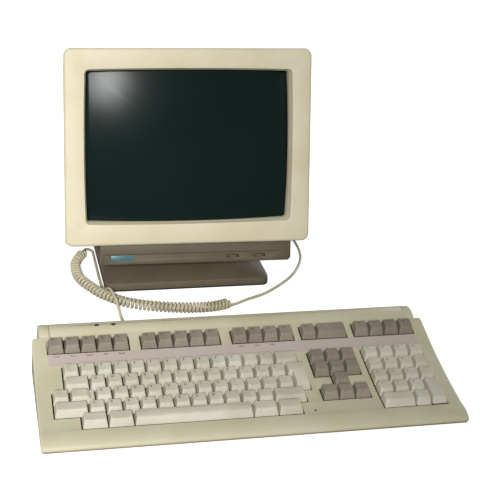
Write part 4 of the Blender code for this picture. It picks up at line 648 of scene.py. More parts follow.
def carve(piece: bpy.types.Object, cutter: bmesh.types.BMesh, joining: Joining = Joining.CUT) -> None:
    """Cuts closed shapes out of a piece, or joins them to it, and keeps the result as a plain mesh.

    Args:
        piece: the piece to change.
        cutter: the closed shapes.
        joining: whether they are cut out or joined on.
    """
    tool = to_object("cutter", cutter, Finish.BLACK)
    modifier = piece.modifiers.new("carve", "BOOLEAN")
    modifier.operation = joining.value
    modifier.solver = "EXACT"
    modifier.object = tool
    carved = settled_mesh(piece)
    piece.modifiers.clear()
    finish = piece.data.materials[0]
    piece.data = carved
    carved.materials.clear()
    carved.materials.append(finish)
    for face in carved.polygons:
        face.material_index = 0
    bpy.data.objects.remove(tool)


def soften(piece: bpy.types.Object, edge: float, steps: int = 2, angle: float = 32.0) -> bpy.types.Object:
    """Rounds a piece's sharp edges a little and shades what is smooth as smooth.

    Args:
        piece: the piece.
        edge: the width of the rounding, or zero for none.
        steps: segments across the rounding.
        angle: the angle in degrees above which an edge is sharp.

    Returns:
        The same piece.
    """
    if edge:
        bevel = piece.modifiers.new("eased edges", "BEVEL")
        bevel.width = edge
        bevel.segments = steps
        bevel.limit_method = "ANGLE"
        bevel.angle_limit = math.radians(angle)
        piece.data = settled_mesh(piece)
        piece.modifiers.clear()
    piece.data.shade_smooth()
    piece.data.set_sharp_from_angle(angle=math.radians(angle + SHADE_MARGIN))
    return piece


def lettering(words: str, size: float, thickness: float, centred: bool = False) -> bpy.types.Mesh:
    """Letters as a thin plain mesh.

    Args:
        words: what they say.
        size: their size.
        thickness: how thick the ink is.
        centred: whether they stand about their middle, instead of from their left end.

    Returns:
        The letters' mesh.
    """
    letters = bpy.data.curves.new("letters", "FONT")
    letters.body = words
    letters.size = size
    letters.extrude = thickness / 2
    # A sixtieth of the size makes the strokes as heavy as printed ones
    letters.offset = size / 60
    letters.resolution_u = 2
    letters.align_x = "CENTER" if centred else "LEFT"
    carrier = add_object("letters", letters)
    printed = settled_mesh(carrier)
    bpy.data.objects.remove(carrier)
    return printed


def deliver(piece: bpy.types.Object, body: str, replaces: Iterable[str] = ()) -> bpy.types.Object:
    """Hands a finished piece to its body.

    Args:
        piece: the finished piece.
        body: the body that it moves with.
        replaces: the solids that it stands for.

    Returns:
        The same piece.
    """
    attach(piece, body)
    if replaces:
        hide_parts(*replaces)
    log.info("%s rides on %s, %d faces", piece.name, body, len(getattr(piece.data, "polygons", ())))
    return piece


# The keyboard's surface, shared by its case, keys and film


@dataclass(frozen=True)
class Bank:
    """The dished surface of the key bank and the pitch of the keys on it."""

    pitch: float = 19.05 * MM
    across: float = 23.5
    height: float = 14.0 * MM
    slope: float = 0.1176
    swell: float = 17.3 * MM
    back: float = 141.0 * MM

    @property
    def curve(self) -> float:
        """How fast the surface steepens, from its swell over the whole bank."""
        return self.swell / self.back**2

    def rise(self, depth: float) -> float:
        """Height of the surface at a depth."""
        return self.height + self.slope * depth + self.curve * depth * depth

    def angle(self, depth: float) -> float:
        """Slope angle of the surface at a depth."""
        return math.atan(self.slope + 2 * self.curve * depth)

    def below(self, depth: float, drop: float) -> tuple[float, float]:
        """Depth and height of the point a drop below the surface along its normal."""
        angle = self.angle(depth)
        return depth + drop * math.sin(angle), self.rise(depth) - drop * math.cos(angle)

    def x(self, units: float) -> float:
        """Place across the keyboard of a count of pitches from the left end of the bank."""
        return (units - self.across / 2) * self.pitch

    def seat(self, left: float, right: float, front: float, back: float) -> Matrix:
        """The place of a key's middle on the surface, turned to lie along it.

        Args:
            left: the key's left edge in pitches.
            right: its right edge.
            front: its front edge.
            back: its back edge.

        Returns:
            The key's place in the keyboard's frame.
        """
        middle = (front + back) / 2 * self.pitch
        place = Matrix.Translation((self.x((left + right) / 2), middle, self.rise(middle)))
        return place @ Matrix.Rotation(self.angle(middle), 4, "X")


BANK = Bank()


# Key caps


class CapStyle(Enum):
    """How the top of a key is shaped."""

    DISHED = "dished"
    STEPPED = "stepped"
    BAR = "bar"
    RETURN = "return"


@dataclass(frozen=True)
class Key:
    """One key: its left, right, front and back edges in pitches, and its legend."""

    left: float
    right: float
    front: float
    back: float
    legend: str = ""

    @property
    def width(self) -> float:
        """Its width in pitches."""
        return self.right - self.left

    @property
    def depth(self) -> float:
        """Its depth in pitches."""
        return self.back - self.front


def row_of(front: float, start: float, widths: Sequence[float], legends: Sequence[str] = ()) -> list[Key]:
    """Neighbouring keys of one row.

    Args:
        front: the row's front edge in pitches.
        start: the left edge of its first key.
        widths: the keys' widths.
        legends: what is printed on them.

    Returns:
        The keys from left to right.
    """
    keys = []
    for index, width in enumerate(widths):
        legend = legends[index] if index < len(legends) else ""
        keys.append(Key(start, start + width, front, front + 1, legend))
        start += width
    return keys


@dataclass(frozen=True)
class KeyGroup:
    """A group of keys on one strip of spring mat."""

    name: str
    keys: list[Key]
    dark: bool = False
    style: CapStyle = CapStyle.DISHED

    @property
    def finish(self) -> Finish:
        """The plastic of its caps."""
        return Finish.DARK_KEY if self.dark else Finish.LIGHT_KEY

    @property
    def slot(self) -> str:
        """The record's slot of that plastic."""
        return "dark_key_plastic" if self.dark else "light_key_plastic"


# Front edges of the rows in pitches, from the space bar's to the function keys'
A, B, C, D, E, F = 0.0, 1.0, 2.0, 3.0, 4.0, 6.08

GROUPS = [
    KeyGroup("function_keys_f1_f5", row_of(F, 0, [1] * 5, ["F1", "F2", "F3", "F4", "F5"]), True),
    KeyGroup("function_keys_f6_f10", row_of(F, 5.75, [1] * 5, ["F6", "F7", "F8", "F9", "F10"]), True),
    KeyGroup("function_keys_f11_f14", row_of(F, 11.5, [1] * 4, ["F11", "F12", "F13", "F14"]), True),
    KeyGroup("help_key", row_of(F, 16, [1], ["F15"]), True),
    KeyGroup("do_key", row_of(F, 17, [2], ["F16"]), True),
    KeyGroup("function_keys_f17_f20", row_of(F, 19.5, [1] * 4, ["F17", "F18", "F19", "F20"]), True),
    KeyGroup("number_row_keys", row_of(E, 0.75, [1] * 13, list("~1234567890-="))),
    KeyGroup("delete_key", row_of(E, 13.75, [1.5])),
    KeyGroup("tab_key", row_of(D, 0.75, [1.5])),
    KeyGroup("top_letter_row_keys", row_of(D, 2.25, [1] * 12, list("QWERTYUIOP[]"))),
    KeyGroup("return_key", [Key(14.25, 15.5, 2, 4)], False, CapStyle.RETURN),
    KeyGroup("control_key", row_of(C, 0, [1])),
    KeyGroup("lock_key", row_of(C, 1, [1.5]), False, CapStyle.STEPPED),
    KeyGroup("home_letter_row_keys", row_of(C, 2.5, [1] * 12, list("ASDFGHJKL;'\\"))),
    KeyGroup("left_shift_key", row_of(B, 0, [2])),
    KeyGroup("bottom_letter_row_keys", row_of(B, 2, [1] * 11, list("<ZXCVBNM,./"))),
    KeyGroup("right_shift_key", row_of(B, 13, [2])),
    KeyGroup("space_bar", row_of(A, 4.5, [7]), False, CapStyle.BAR),
    KeyGroup("left_compose_keys", row_of(A, 1.5, [1.5, 1.5])),
    KeyGroup("right_compose_keys", row_of(A, 11.5, [1.5, 1.5])),
    KeyGroup("editing_keys", row_of(D, 16, [1] * 3) + row_of(E, 16, [1] * 3), True),
    KeyGroup("cursor_keys", row_of(B, 16, [1] * 3) + row_of(C, 17, [1]), True),
    KeyGroup(
        "keypad_keys",
        row_of(A, 21.5, [1], ["."])
        + row_of(B, 19.5, [1] * 3, ["1", "2", "3"])
        + row_of(C, 19.5, [1] * 4, ["4", "5", "6", ","])
        + row_of(D, 19.5, [1] * 4, ["7", "8", "9", "-"])
        + row_of(E, 19.5, [1] * 4, ["P1", "P2", "P3", "P4"]),
    ),
    KeyGroup("keypad_enter_key", [Key(22.5, 23.5, 0, 2)]),
    KeyGroup("keypad_zero_key", row_of(A, 19.5, [2], ["0"])),
]


@dataclass
class KeyBank:
    """All the keys: caps on their stems, carried by strips of rubber mat, with printed legends."""

    place: Matrix
    gap: float = 1.05 * MM
    rise: float = 8.6 * MM
    skirt: float = 0.6 * MM
    deep_cut: float = 1.2 * MM
    side_draw: float = 1.9 * MM
    front_draw: float = 4.5 * MM
    back_draw: float = 1.4 * MM
    dish: float = 0.9 * MM
    wide_from: float = 1.1
    crown: float = 1.1 * MM
    step_overlap: float = 2.5 * MM
    step_gap: float = 0.05 * MM
    step_corner: float = 0.8 * MM
    stem: float = 6.0 * MM
    mat_drop: float = 4.2 * MM
    mat_thickness: float = 1.0 * MM
    mat_width: float = 12.0 * MM
    mat_inset: float = 6.0 * MM
    link_overlap: float = 0.4 * MM
    link_share: float = 0.9
    legend_size: float = 4.2 * MM
    legend_thickness: float = 0.05 * MM
    legend_inset: float = 2.6 * MM
    legend_drop: float = 2.4 * MM
    tree: bpy.types.NodeTree | None = field(default=None, init=False)

    def half_sizes(self, key: Key) -> tuple[float, float]:
        """Half the width and depth of a cap's skirt.

        Args:
            key: the key.

        Returns:
            Half its width and half its depth.
        """
        turn = BANK.angle((key.front + key.back) / 2 * BANK.pitch)
        half_width = (key.width * BANK.pitch - self.gap) / 2
        return half_width, (key.depth * BANK.pitch / math.cos(turn) - self.gap) / 2

    def sag(self, x: float, left: float, right: float, style: CapStyle) -> float:
        """How far the finger dish takes the top down at a place across, which on the bar is nothing.

        Args:
            x: place across the key.
            left: left edge of the key's top.
            right: right edge of the key's top.
            style: the key's style.

        Returns:
            The change in height.
        """
        across = (2 * x - left - right) / (right - left)
        if style is CapStyle.BAR:
            return 0.0
        if right - left > BANK.pitch * self.wide_from:
            # A wide key is dished over its middle only, and flat between its raised ends
            across = math.copysign(abs(across) ** 2, across)
        return -self.dish * (1 - min(abs(across), 1.0) ** 2)

    def cap_loops(self, key: Key, style: CapStyle, top_right: float) -> list[Loop]:
        """The rounded loops of a cap from its skirt to the middle of its top.

        Args:
            key: the key.
            style: how its top is shaped.
            top_right: where its top ends on the right.

        Returns:
            The loops, from the lowest to the innermost.
        """
        half_width, half_depth = self.half_sizes(key)
        # A cap two rows deep is cut short, as the dished frame rises under its ends
        skirt = self.skirt - (self.deep_cut if key.depth >= 2 else 0.0)
        whole = self.rise + skirt
        top_left = -half_width + self.side_draw
        # Height, share of the draw, corner radius and easing of each loop
        levels = [
            (-skirt, 0.0, 0.5 * MM, 0.0),
            (self.rise - 1.5 * MM, 1 - 1.5 * MM / whole, 1.6 * MM, 0.0),
            (self.rise - 0.5 * MM, 1 - 0.55 * MM / whole, 2.0 * MM, 0.05 * MM),
            (self.rise - 0.12 * MM, 1.0, 2.1 * MM, 0.25 * MM),
            (self.rise, 1.0, 2.0 * MM, 0.7 * MM),
        ]
        loops: list[Loop] = []
        for index, (height, share, radius, ease) in enumerate(levels):
            left = -half_width + self.side_draw * share + ease
            right = half_width - self.side_draw * share - ease
            right += (top_right - (half_width - self.side_draw)) * share
            front = -half_depth + self.front_draw * share + ease
            back = half_depth - self.back_draw * share - ease
            middle = ((left + right) / 2, (front + back) / 2)
            plan = rounded_rect((right - left) / 2, (back - front) / 2, radius, 3, middle, 0.0, 3)
            loop = []
            for x, y in plan:
                sag = self.sag(x, top_left, top_right, style) if index else 0.0
                # The side below the rounding follows the dish only in part
                sag *= 1.0 if index > 1 else 0.6
                if style is CapStyle.BAR and index > 1:
                    sag -= self.crown * (2 * y / (back - front)) ** 2
                loop.append(Vector((x, y, height + sag)))
            loops.append(loop)
        last = loops[-1]
        middle_x = sum(point.x for point in last) / len(last)
        middle_y = sum(point.y for point in last) / len(last)
        for share in (0.66, 0.33):
            loop = []
            for point in last:
                x = middle_x + (point.x - middle_x) * share
                y = middle_y + (point.y - middle_y) * share
                loop.append(Vector((x, y, self.rise + self.sag(x, top_left, top_right, style))))
            loops.append(loop)
        return loops

    def cap_mesh(self, key: Key, style: CapStyle) -> bmesh.types.BMesh:
        """One cap in its own frame, its surface at height zero, with its stem.

        Args:
            key: the key.
            style: how its top is shaped.

        Returns:
            The cap and its stem.
        """
        mesh = bmesh.new()
        half_width, half_depth = self.half_sizes(key)
        if style is CapStyle.RETURN:
            self.add_return(mesh, half_width, half_depth)
        else:
            top_right = half_width - (BANK.pitch / 2 if style is CapStyle.STEPPED else self.side_draw)
            add_loft(mesh, self.cap_loops(key, style, top_right))
            if style is CapStyle.STEPPED:
                self.add_step(mesh, half_width, half_depth, top_right)
        foot = -self.mat_drop - self.mat_thickness / 2
        add_box(mesh, (0, 0, (foot - self.skirt) / 2), (self.stem, self.stem, -self.skirt - foot))
        return mesh

    def add_step(
        self,
        mesh: bmesh.types.BMesh,
        half_width: float,
        half_depth: float,
        top_right: float,
    ) -> None:
        """Adds the low step on the right of the lock key.

        Args:
            mesh: the cap's mesh.
            half_width: half the width of its skirt.
            half_depth: half the depth of its skirt.
            top_right: where its high top ends.
        """
        height = self.rise / 2
        share = (height + self.skirt) / (self.rise + self.skirt)
        left = top_right - self.step_overlap
        loops = []
        stations = ((-self.skirt + self.step_gap, 0.0), (height - 0.4 * MM, share), (height, share + 0.08))
        for z, part in stations:
            right = half_width - self.side_draw * part - self.step_gap
            front = -half_depth + self.front_draw * part + self.step_gap
            back = half_depth - self.back_draw * part - self.step_gap
            middle = ((left + right) / 2, (front + back) / 2)
            plan = rounded_rect((right - left) / 2, (back - front) / 2, self.step_corner, 3, middle)
            loops.append(level(plan, z))
        add_loft(mesh, loops)

    def add_return(self, mesh: bmesh.types.BMesh, half_width: float, half_depth: float) -> None:
        """Adds the L-shaped return key, its top drawn in on every side.

        Args:
            mesh: the cap's mesh.
            half_width: half the width of its skirt.
            half_depth: half the depth of its skirt.
        """
        notch = -half_width + BANK.pitch / 4
        # Each corner, and the way that the draw takes it across and along, by a share that rises to its top
        outline = [
            (notch, -half_depth, 1, 1),
            (half_width, -half_depth, -1, 1),
            (half_width, half_depth, -1, -1),
            (-half_width, half_depth, 1, -1),
            (-half_width, self.gap, 1, 1),
            (notch, self.gap, 1, 1),
        ]
        loops = []
        for height, share in ((-self.skirt, 0.0), (self.rise - 0.5 * MM, 0.94), (self.rise, 1.06)):
            loop = []
            for x, y, side, up in outline:
                draw = self.front_draw if up > 0 else self.back_draw
                loop.append(Vector((x + side * self.side_draw * share, y + up * draw * share, height)))
            loops.append(loop)
        add_loft(mesh, loops)

    def row_tree(self) -> bpy.types.NodeTree:
        """The node tree that sets equal caps side by side along a row of the bank.

        Returns:
            The tree, which is built the first time.
        """
        if self.tree:
            return self.tree
        tree = bpy.data.node_groups.new("caps_along_row", "GeometryNodeTree")
        sockets = {
            "Cap": "NodeSocketObject",
            "Keys": "NodeSocketInt",
            "Start": "NodeSocketVector",
            "Step": "NodeSocketVector",
            "Tilt": "NodeSocketVector",
            "Plastic": "NodeSocketMaterial",
        }
        for name, kind in sockets.items():
            tree.interface.new_socket(name, in_out="INPUT", socket_type=kind)
        tree.interface.new_socket("Geometry", in_out="OUTPUT", socket_type="NodeSocketGeometry")
        given = add_node(tree, "NodeGroupInput").outputs
        line = add_node(
            tree,
            "GeometryNodeMeshLine",
            {"mode": "OFFSET"},
            {"Count": given["Keys"], "Start Location": given["Start"], "Offset": given["Step"]},
        )
        cap = add_node(tree, "GeometryNodeObjectInfo", {}, {"Object": given["Cap"]})
        placed = add_node(
            tree,
            "GeometryNodeInstanceOnPoints",
            {},
            {"Points": line.outputs["Mesh"], "Instance": cap.outputs["Geometry"], "Rotation": given["Tilt"]},
        )
        real = add_node(tree, "GeometryNodeRealizeInstances", {}, {"Geometry": placed.outputs["Instances"]})
        dressed = add_node(
            tree,
            "GeometryNodeSetMaterial",
            {},
            {"Geometry": real.outputs["Geometry"], "Material": given["Plastic"]},
        )
        add_node(tree, "NodeGroupOutput", {}, {"Geometry": dressed.outputs["Geometry"]})
        self.tree = tree
        return tree

    def run_row(self, run: list[Key], style: CapStyle, finish: Finish) -> bpy.types.Mesh:
        """Sets one cap's copies along a run of equal keys.

        Args:
            run: equal keys of one row, from left to right.
            style: how their tops are shaped.
            finish: their plastic.

        Returns:
            The run as a plain mesh in the keyboard's frame.
        """
        first = run[0]
        seat = BANK.seat(first.left, first.right, first.front, first.back)
        cap = to_object("cap", self.cap_mesh(first, style), finish)
        host = add_object("row", bpy.data.meshes.new("row"))
        modifier = host.modifiers.new("caps along row", "NODES")
        modifier.node_group = self.row_tree()
        values = {
            "Cap": cap,
            "Keys": len(run),
            "Start": tuple(seat.translation),
            "Step": (first.width * BANK.pitch, 0.0, 0.0),
            "Tilt": tuple(seat.to_euler()),
            "Plastic": finish.material(),
        }
        for item in modifier.node_group.interface.items_tree:
            if item.in_out == "INPUT":
                modifier[item.identifier] = values[item.name]
        result = settled_mesh(host)
        bpy.data.objects.remove(host)
        bpy.data.objects.remove(cap)
        return result

    def add_mats(self, mesh: bmesh.types.BMesh, keys: list[Key]) -> None:
        """Adds the strip of rubber mat below each row of a group, and the links between rows.

        Args:
            mesh: the mesh to add to.
            keys: the group's keys.
        """
        rows: dict[tuple[float, float], list[float]] = {}
        for key in keys:
            ends = rows.setdefault((key.front, key.back), [key.left, key.right])
            ends[0], ends[1] = min(ends[0], key.left), max(ends[1], key.right)
        middle = (0, 0, -self.mat_drop - self.mat_thickness / 2)
        ordered = sorted(rows)
        for front, back in ordered:
            left, right = rows[front, back]
            seat = BANK.seat(left, right, front, back)
            length = (right - left) * BANK.pitch - self.mat_inset * 2
            add_box(mesh, middle, (length, self.mat_width, self.mat_thickness), seat)
        for low, high in zip(ordered, ordered[1:]):
            left = max(rows[low][0], rows[high][0])
            right = min(rows[low][1], rows[high][1])
            front, back = (low[0] + low[1]) / 2, (high[0] + high[1]) / 2
            seat = BANK.seat(left, right, front, back)
            length = (right - left) * BANK.pitch - self.mat_inset * 2
            depth = (back - front) * BANK.pitch - self.mat_width + self.link_overlap
            add_box(mesh, middle, (length, depth, self.mat_thickness * self.link_share), seat)

    def build_group(self, group: KeyGroup) -> None:
        """Builds a group's caps, mats and legends, and hands them over.

        Args:
            group: the group.
        """
        mesh = bmesh.new()
        remaining = list(group.keys)
        while remaining:
            first = remaining[0]
            run = [key for key in remaining if key.front == first.front and key.width == first.width]
            remaining = [key for key in remaining if key not in run]
            mesh.from_mesh(self.run_row(run, group.style, group.finish))
        piece = to_object(f"{group.name}_caps", mesh, group.finish, self.place)
        soften(piece, 0.0, angle=40.0)
        deliver(piece, group.name, [group.name])
        mat = bmesh.new()
        self.add_mats(mat, group.keys)
        deliver(to_object(f"{group.name}_mat", mat, Finish.RUBBER, self.place), group.name)
        if any(key.legend for key in group.keys):
            self.build_legends(group)

    def build_legends(self, group: KeyGroup) -> None:
        """Prints the legends of a group on its caps, following the finger dishes.

        Args:
            group: the group.
        """
        mesh = bmesh.new()
        for key in group.keys:
            if key.legend:
                self.add_legend(mesh, key, group.style)
        piece = to_object(f"{group.name}_legends", mesh, Finish.INK, self.place)
        deliver(piece, group.name)

    def add_legend(self, mesh: bmesh.types.BMesh, key: Key, style: CapStyle) -> None:
        """Adds one legend at the upper left of its cap.

        Args:
            mesh: the mesh to add to.
            key: the key.
            style: how its top is shaped.
        """
        half_width, half_depth = self.half_sizes(key)
        size = self.legend_size * (0.76 if len(key.legend) > 1 else 1.0)
        printed = lettering(key.legend, size, self.legend_thickness)
        left, right = -half_width + self.side_draw, half_width - self.side_draw
        corner_x = left + self.legend_inset
        # A capital is 0.72 of its size tall
        corner_y = half_depth - self.back_draw - size * 0.72 - self.legend_drop
        for point in printed.vertices:
            x, y = point.co.x + corner_x, point.co.y + corner_y
            point.co = (x, y, self.rise + self.sag(x, left, right, style) + point.co.z)
        printed.transform(BANK.seat(key.left, key.right, key.front, key.back))
        mesh.from_mesh(printed)

    def build(self) -> None:
        """Builds every group of keys."""
        for group in GROUPS:
            self.build_group(group)


# Keyboard case


@dataclass
class KeyboardCase:
    """The moulded case of the keyboard, its film, the painted shade of its sounder hole and its seam.

    The hollow for the turning feet ends at hollow_end, an angle about the bar's axis in degrees, and
    film_ends are how far the film stays behind the number row and before the function keys.
    """

    place: Matrix
    width: float = 482.6 * MM
    front_reach: float = 23.1 * MM
    rim: float = 4.0 * MM
    skin: float = 2.4 * MM
    side_wall: float = 3.0 * MM
    corner: float = 3.0 * MM
    edge: float = 0.45 * MM
    bar_radius: float = 22.8 * MM
    bar_depth: float = 155.0 * MM
    bar_height: float = 30.0 * MM
    running_gap: float = 0.5 * MM
    hollow_end: float = 226.0
    hollow_drop: float = 8.0 * MM
    cap_width: float = 12.1 * MM
    cap_inset: float = 8.8 * MM
    axle_hole: float = 5.3 * MM
    axle_reach: float = 8.0 * MM
    well_gap: float = 2.0 * MM
    well_top: float = 70.0 * MM
    travel: float = 3.0 * MM
    light_start: float = 60.2 * MM
    light_pitch: float = 20.0 * MM
    light_forward: float = 1.2 * MM
    light_window: tuple[float, float, float] = (5.6 * MM, 3.8 * MM, 9.0 * MM)
    cord_side: float = -110.5 * MM
    cord_height: float = 13.0 * MM
    cord_hole: tuple[float, float, float] = (8.2 * MM, 16.0 * MM, 7.2 * MM)
    film_over: float = 0.2 * MM
    film_ends: tuple[float, float] = (2.1 * MM, 1.2 * MM)
    film_top: float = 0.12 * MM
    film_below: float = 0.06 * MM
    words_ahead: float = 5.4 * MM
    words_size: float = 3.1 * MM
    words_thickness: float = 0.05 * MM
    words_rise: float = 0.14 * MM
    seam_inset: float = 0.35 * MM
    seam_height: float = 2.9 * MM
    seam_section: tuple[float, float] = (1.2 * MM, 1.9 * MM)
    sounder: tuple[float, float] = (66.5 * MM, 4.0 * MM)
    sounder_radius: float = 1.3 * MM

    def bar_point(self, radius: float, angle: float) -> tuple[float, float]:
        """A point of a circle about the bar's axis."""
        return self.bar_depth + radius * math.cos(angle), self.bar_height + radius * math.sin(angle)

    def meeting(self, radius: float, inset: float) -> float:
        """Depth at which the surface comes to a circle about the bar's axis.

        Args:
            radius: the circle's radius.
            inset: how far below the surface it is looked for.

        Returns:
            The depth.
        """
        depth = BANK.back
        while depth > 0:
            y, z = BANK.below(depth, inset)
            if math.hypot(y - self.bar_depth, z - self.bar_height) >= radius:
                break
            depth -= radius / 400
        return depth

    def deck_profile(self, inset: float, drop: float) -> Plan:
        """Side profile of the case beside the bar, from its front seam to the hollow for the foot.

        Args:
            inset: how far it lies inside the case's surface.
            drop: how far it runs below the case's rim.

        Returns:
            Depths and heights.
        """
        points: Plan = [(-(self.front_reach - inset), self.rim - drop)]
        climb = BANK.height - self.rim - inset
        for step in range(12):
            angle = math.radians(90 * step / 12)
            points.append((-(self.front_reach - inset) * math.cos(angle), self.rim + climb * math.sin(angle)))
        radius = self.bar_radius + self.running_gap + inset
        met = self.meeting(radius, inset)
        points += [BANK.below(met * step / 24, inset) for step in range(25)]
        y, z = points[-1]
        start = math.degrees(math.atan2(z - self.bar_height, y - self.bar_depth))
        turn = self.hollow_end - start
        points += [self.bar_point(radius, math.radians(start + turn * i / 16)) for i in range(1, 17)]
        points.append((points[-1][0], self.rim - drop))
        return points

    def bar_profile(self, inset: float, drop: float) -> Plan:
        """Side profile of the round bar, from inside the deck over the bar to the back seam.

        Args:
            inset: how far it lies inside the bar's surface.
            drop: how far it runs below the case's rim.

        Returns:
            Depths and heights.
        """
        met = self.meeting(self.bar_radius + self.running_gap + inset, inset)
        points = [BANK.below(met + (BANK.back - met) * step / 3, inset) for step in range(4)]
        points += [self.bar_point(self.bar_radius - inset, math.radians(121 - 3 * i)) for i in range(48)]
        inside = self.bar_depth - self.bar_radius - self.skin * 2
        points += [(points[-1][0], self.rim - drop), (inside, self.rim - drop)]
        return [*points, (inside, BANK.below(inside, inset + self.skin)[1])]

    def deck(self, inset: float, drop: float) -> bmesh.types.BMesh:
        """The dished deck of the case, or with an inset its hollow.

        Args:
            inset: how far it lies inside the case's surface.
            drop: how far it runs below the case's rim.

        Returns:
            The closed shape.
        """
        half = self.width / 2 - (self.side_wall if inset else 0.0)
        sides: list[tuple[float, Plan]] = []
        if inset:
            sides.append((half, self.deck_profile(inset, drop)))
        else:
            # The ends of the case roll over from its face to its flat sides
            for turn in (math.radians(18 * step) for step in range(6)):
                plan = self.deck_profile(self.corner / 2 * (1 - math.sin(turn)), 0.0)
                sides.append((half - self.corner * (1 - math.cos(turn)), plan))
        stations = sides + [(-x, plan) for x, plan in reversed(sides)]
        return add_loft(bmesh.new(), [[Vector((x, y, z)) for y, z in plan] for x, plan in stations])

    def bar(self, inset: float, drop: float) -> bmesh.types.BMesh:
        """The round bar along the back, or with an inset its hollow.

        Args:
            inset: how far it lies inside the bar's surface.
            drop: how far it runs below the case's rim.

        Returns:
            The closed shape.
        """
        end = self.width / 2 - self.cap_inset - self.cap_width - self.running_gap - inset
        plan = self.bar_profile(inset, drop)
        return add_loft(bmesh.new(), [[Vector((x, y, z)) for y, z in plan] for x in (-end, end)])

    def wells(self) -> list[Plan]:
        """Plan outlines of the key wells.

        Returns:
            The outlines in pitches, anticlockwise.
        """
        outlines: list[Plan] = [
            [(left, F), (right, F), (right, F + 1), (left, F + 1)]
            for left, right in ((0, 5), (5.75, 10.75), (11.5, 15.5), (16, 19), (19.5, 23.5))
        ]
        outlines.append(
            [(1.5, 0), (14.5, 0), (14.5, 1), (15, 1), (15, 2), (15.5, 2), (15.5, 4), (15.25, 4), (15.25, 5)]
            + [(0.75, 5), (0.75, 3), (0, 3), (0, 1), (1.5, 1)]
        )
        outlines.append(
            [(16, 1), (19, 1), (19, 2), (18, 2), (18, 3), (19, 3)]
            + [(19, 5), (16, 5), (16, 3), (17, 3), (17, 2), (16, 2)]
        )
        outlines.append([(19.5, 0), (23.5, 0), (23.5, 5), (19.5, 5)])
        return outlines

    def grown(self, outline: Plan) -> Plan:
        """An outline in metres, a small gap larger, with room at the back for the keys' stroke.

        Args:
            outline: the outline in pitches, anticlockwise.

        Returns:
            The larger outline.
        """
        points: Plan = []
        room = self.well_gap / 2
        for i, (x, y) in enumerate(outline):
            before, after = outline[i - 1], outline[(i + 1) % len(outline)]
            step_x = y - before[1] if y != before[1] else after[1] - y
            step_y = x - before[0] if x != before[0] else after[0] - x
            front = -math.copysign(1, step_y)
            stroke = self.travel * math.sin(BANK.angle(y * BANK.pitch)) if front > 0 else 0.0
            points.append((BANK.x(x) + math.copysign(room, step_x), y * BANK.pitch + front * (room + stroke)))
        return points

    def openings(self) -> bmesh.types.BMesh:
        """Cutters of the key wells, the two status light windows and the cord's hole.

        Returns:
            The closed shapes.
        """
        cutters = bmesh.new()
        for outline in self.wells():
            points = self.grown(outline)
            low = BANK.rise(min(y for _, y in points)) - self.skin * 2
            add_loft(cutters, [level(points, low), level(points, self.well_top)])
        for index in range(2):
            centre = BANK.x(0) + self.light_start + index * self.light_pitch
            middle = (centre, self.bar_depth - self.light_forward, self.bar_height + self.bar_radius)
            add_box(cutters, middle, self.light_window)
        back = self.bar_depth + self.bar_radius
        return add_box(cutters, (self.cord_side, back, self.cord_height), self.cord_hole)

    def axle_holes(self) -> bmesh.types.BMesh:
        """Cutters of the holes in the bar's ends, where the feet's axles go in.

        Returns:
            The closed shapes.
        """
        holes = bmesh.new()
        wall = self.width / 2 - self.cap_inset - self.cap_width - self.skin / 2
        for side in (-1, 1):
            shift = Vector((side * wall, self.bar_depth, self.bar_height))
            ends = (-self.axle_reach, self.axle_reach)
            loops = [circle(self.axle_hole, reach, 32, Axis.X) for reach in ends]
            add_loft(holes, [[point + shift for point in loop] for loop in loops])
        return holes

    def build_shell(self) -> None:
        """Builds the case with its wells, windows and holes."""
        shell = to_object("keyboard_top_shell", self.deck(0.0, 0.0), Finish.CASE)
        carve(shell, self.bar(0.0, 0.0), Joining.UNITE)
        carve(shell, self.deck(self.skin, self.hollow_drop))
        carve(shell, self.bar(self.skin, self.hollow_drop))
        carve(shell, self.openings())
        carve(shell, self.axle_holes())
        shell.data.transform(self.place)
        soften(shell, self.edge, 2, 40.0)
        deliver(shell, Body.STAND.value, ["keyboard_top_case"])

    def build_film(self) -> None:
        """Lays the printed film in the band between the function keys and the number row."""
        left, right = BANK.x(0) - self.film_over, BANK.x(BANK.across) + self.film_over
        front = (E + 1) * BANK.pitch + self.film_ends[0]
        back = F * BANK.pitch - self.film_ends[1]
        steps = 14
        depths = [front + (back - front) * step / steps for step in range(steps + 1)]
        top = [BANK.below(depth, -self.film_top) for depth in depths]
        bottom = [BANK.below(depth, self.film_below) for depth in reversed(depths)]
        loops = [[Vector((x, y, z)) for y, z in top + bottom] for x in (left, right)]
        film = to_object("legend_film", add_loft(bmesh.new(), loops), Finish.FILM, self.place)
        soften(film, 0.0)
        deliver(film, Body.STAND.value)

    def build_words(self) -> None:
        """Prints what the first function keys do, and the names of three settings, on the film."""
        mesh = bmesh.new()
        depth = F * BANK.pitch - self.words_ahead
        y, z = BANK.below(depth, -self.words_rise)
        words = [(0.5, "Hold"), (1.5, "Print"), (2.5, "Set-up"), (3.5, "Talk"), (4.5, "Break")]
        words += [(12.0, "Hold"), (13.0, "Lock"), (14.0, "Wait")]
        for units, word in words:
            printed = lettering(word, self.words_size, self.words_thickness, centred=True)
            place = Matrix.Translation((BANK.x(units), y, z)) @ Matrix.Rotation(BANK.angle(depth), 4, "X")
            printed.transform(place)
            mesh.from_mesh(printed)
        piece = to_object("film_words", mesh, Finish.INK, self.place)
        deliver(piece, Body.STAND.value)

    def build_seam(self) -> None:
        """Builds the narrow brown edge that shows below the case along its front."""
        length = (self.width / 2 - self.corner) * 2
        depth, height = self.seam_section
        middle = (0, -self.front_reach + self.seam_inset + depth / 2, self.seam_height)
        mesh = add_box(bmesh.new(), middle, (length, depth, height))
        seam = to_object("case_seam", mesh, Finish.SEAM, self.place)
        soften(seam, 0.2 * MM)
        deliver(seam, Body.STAND.value)

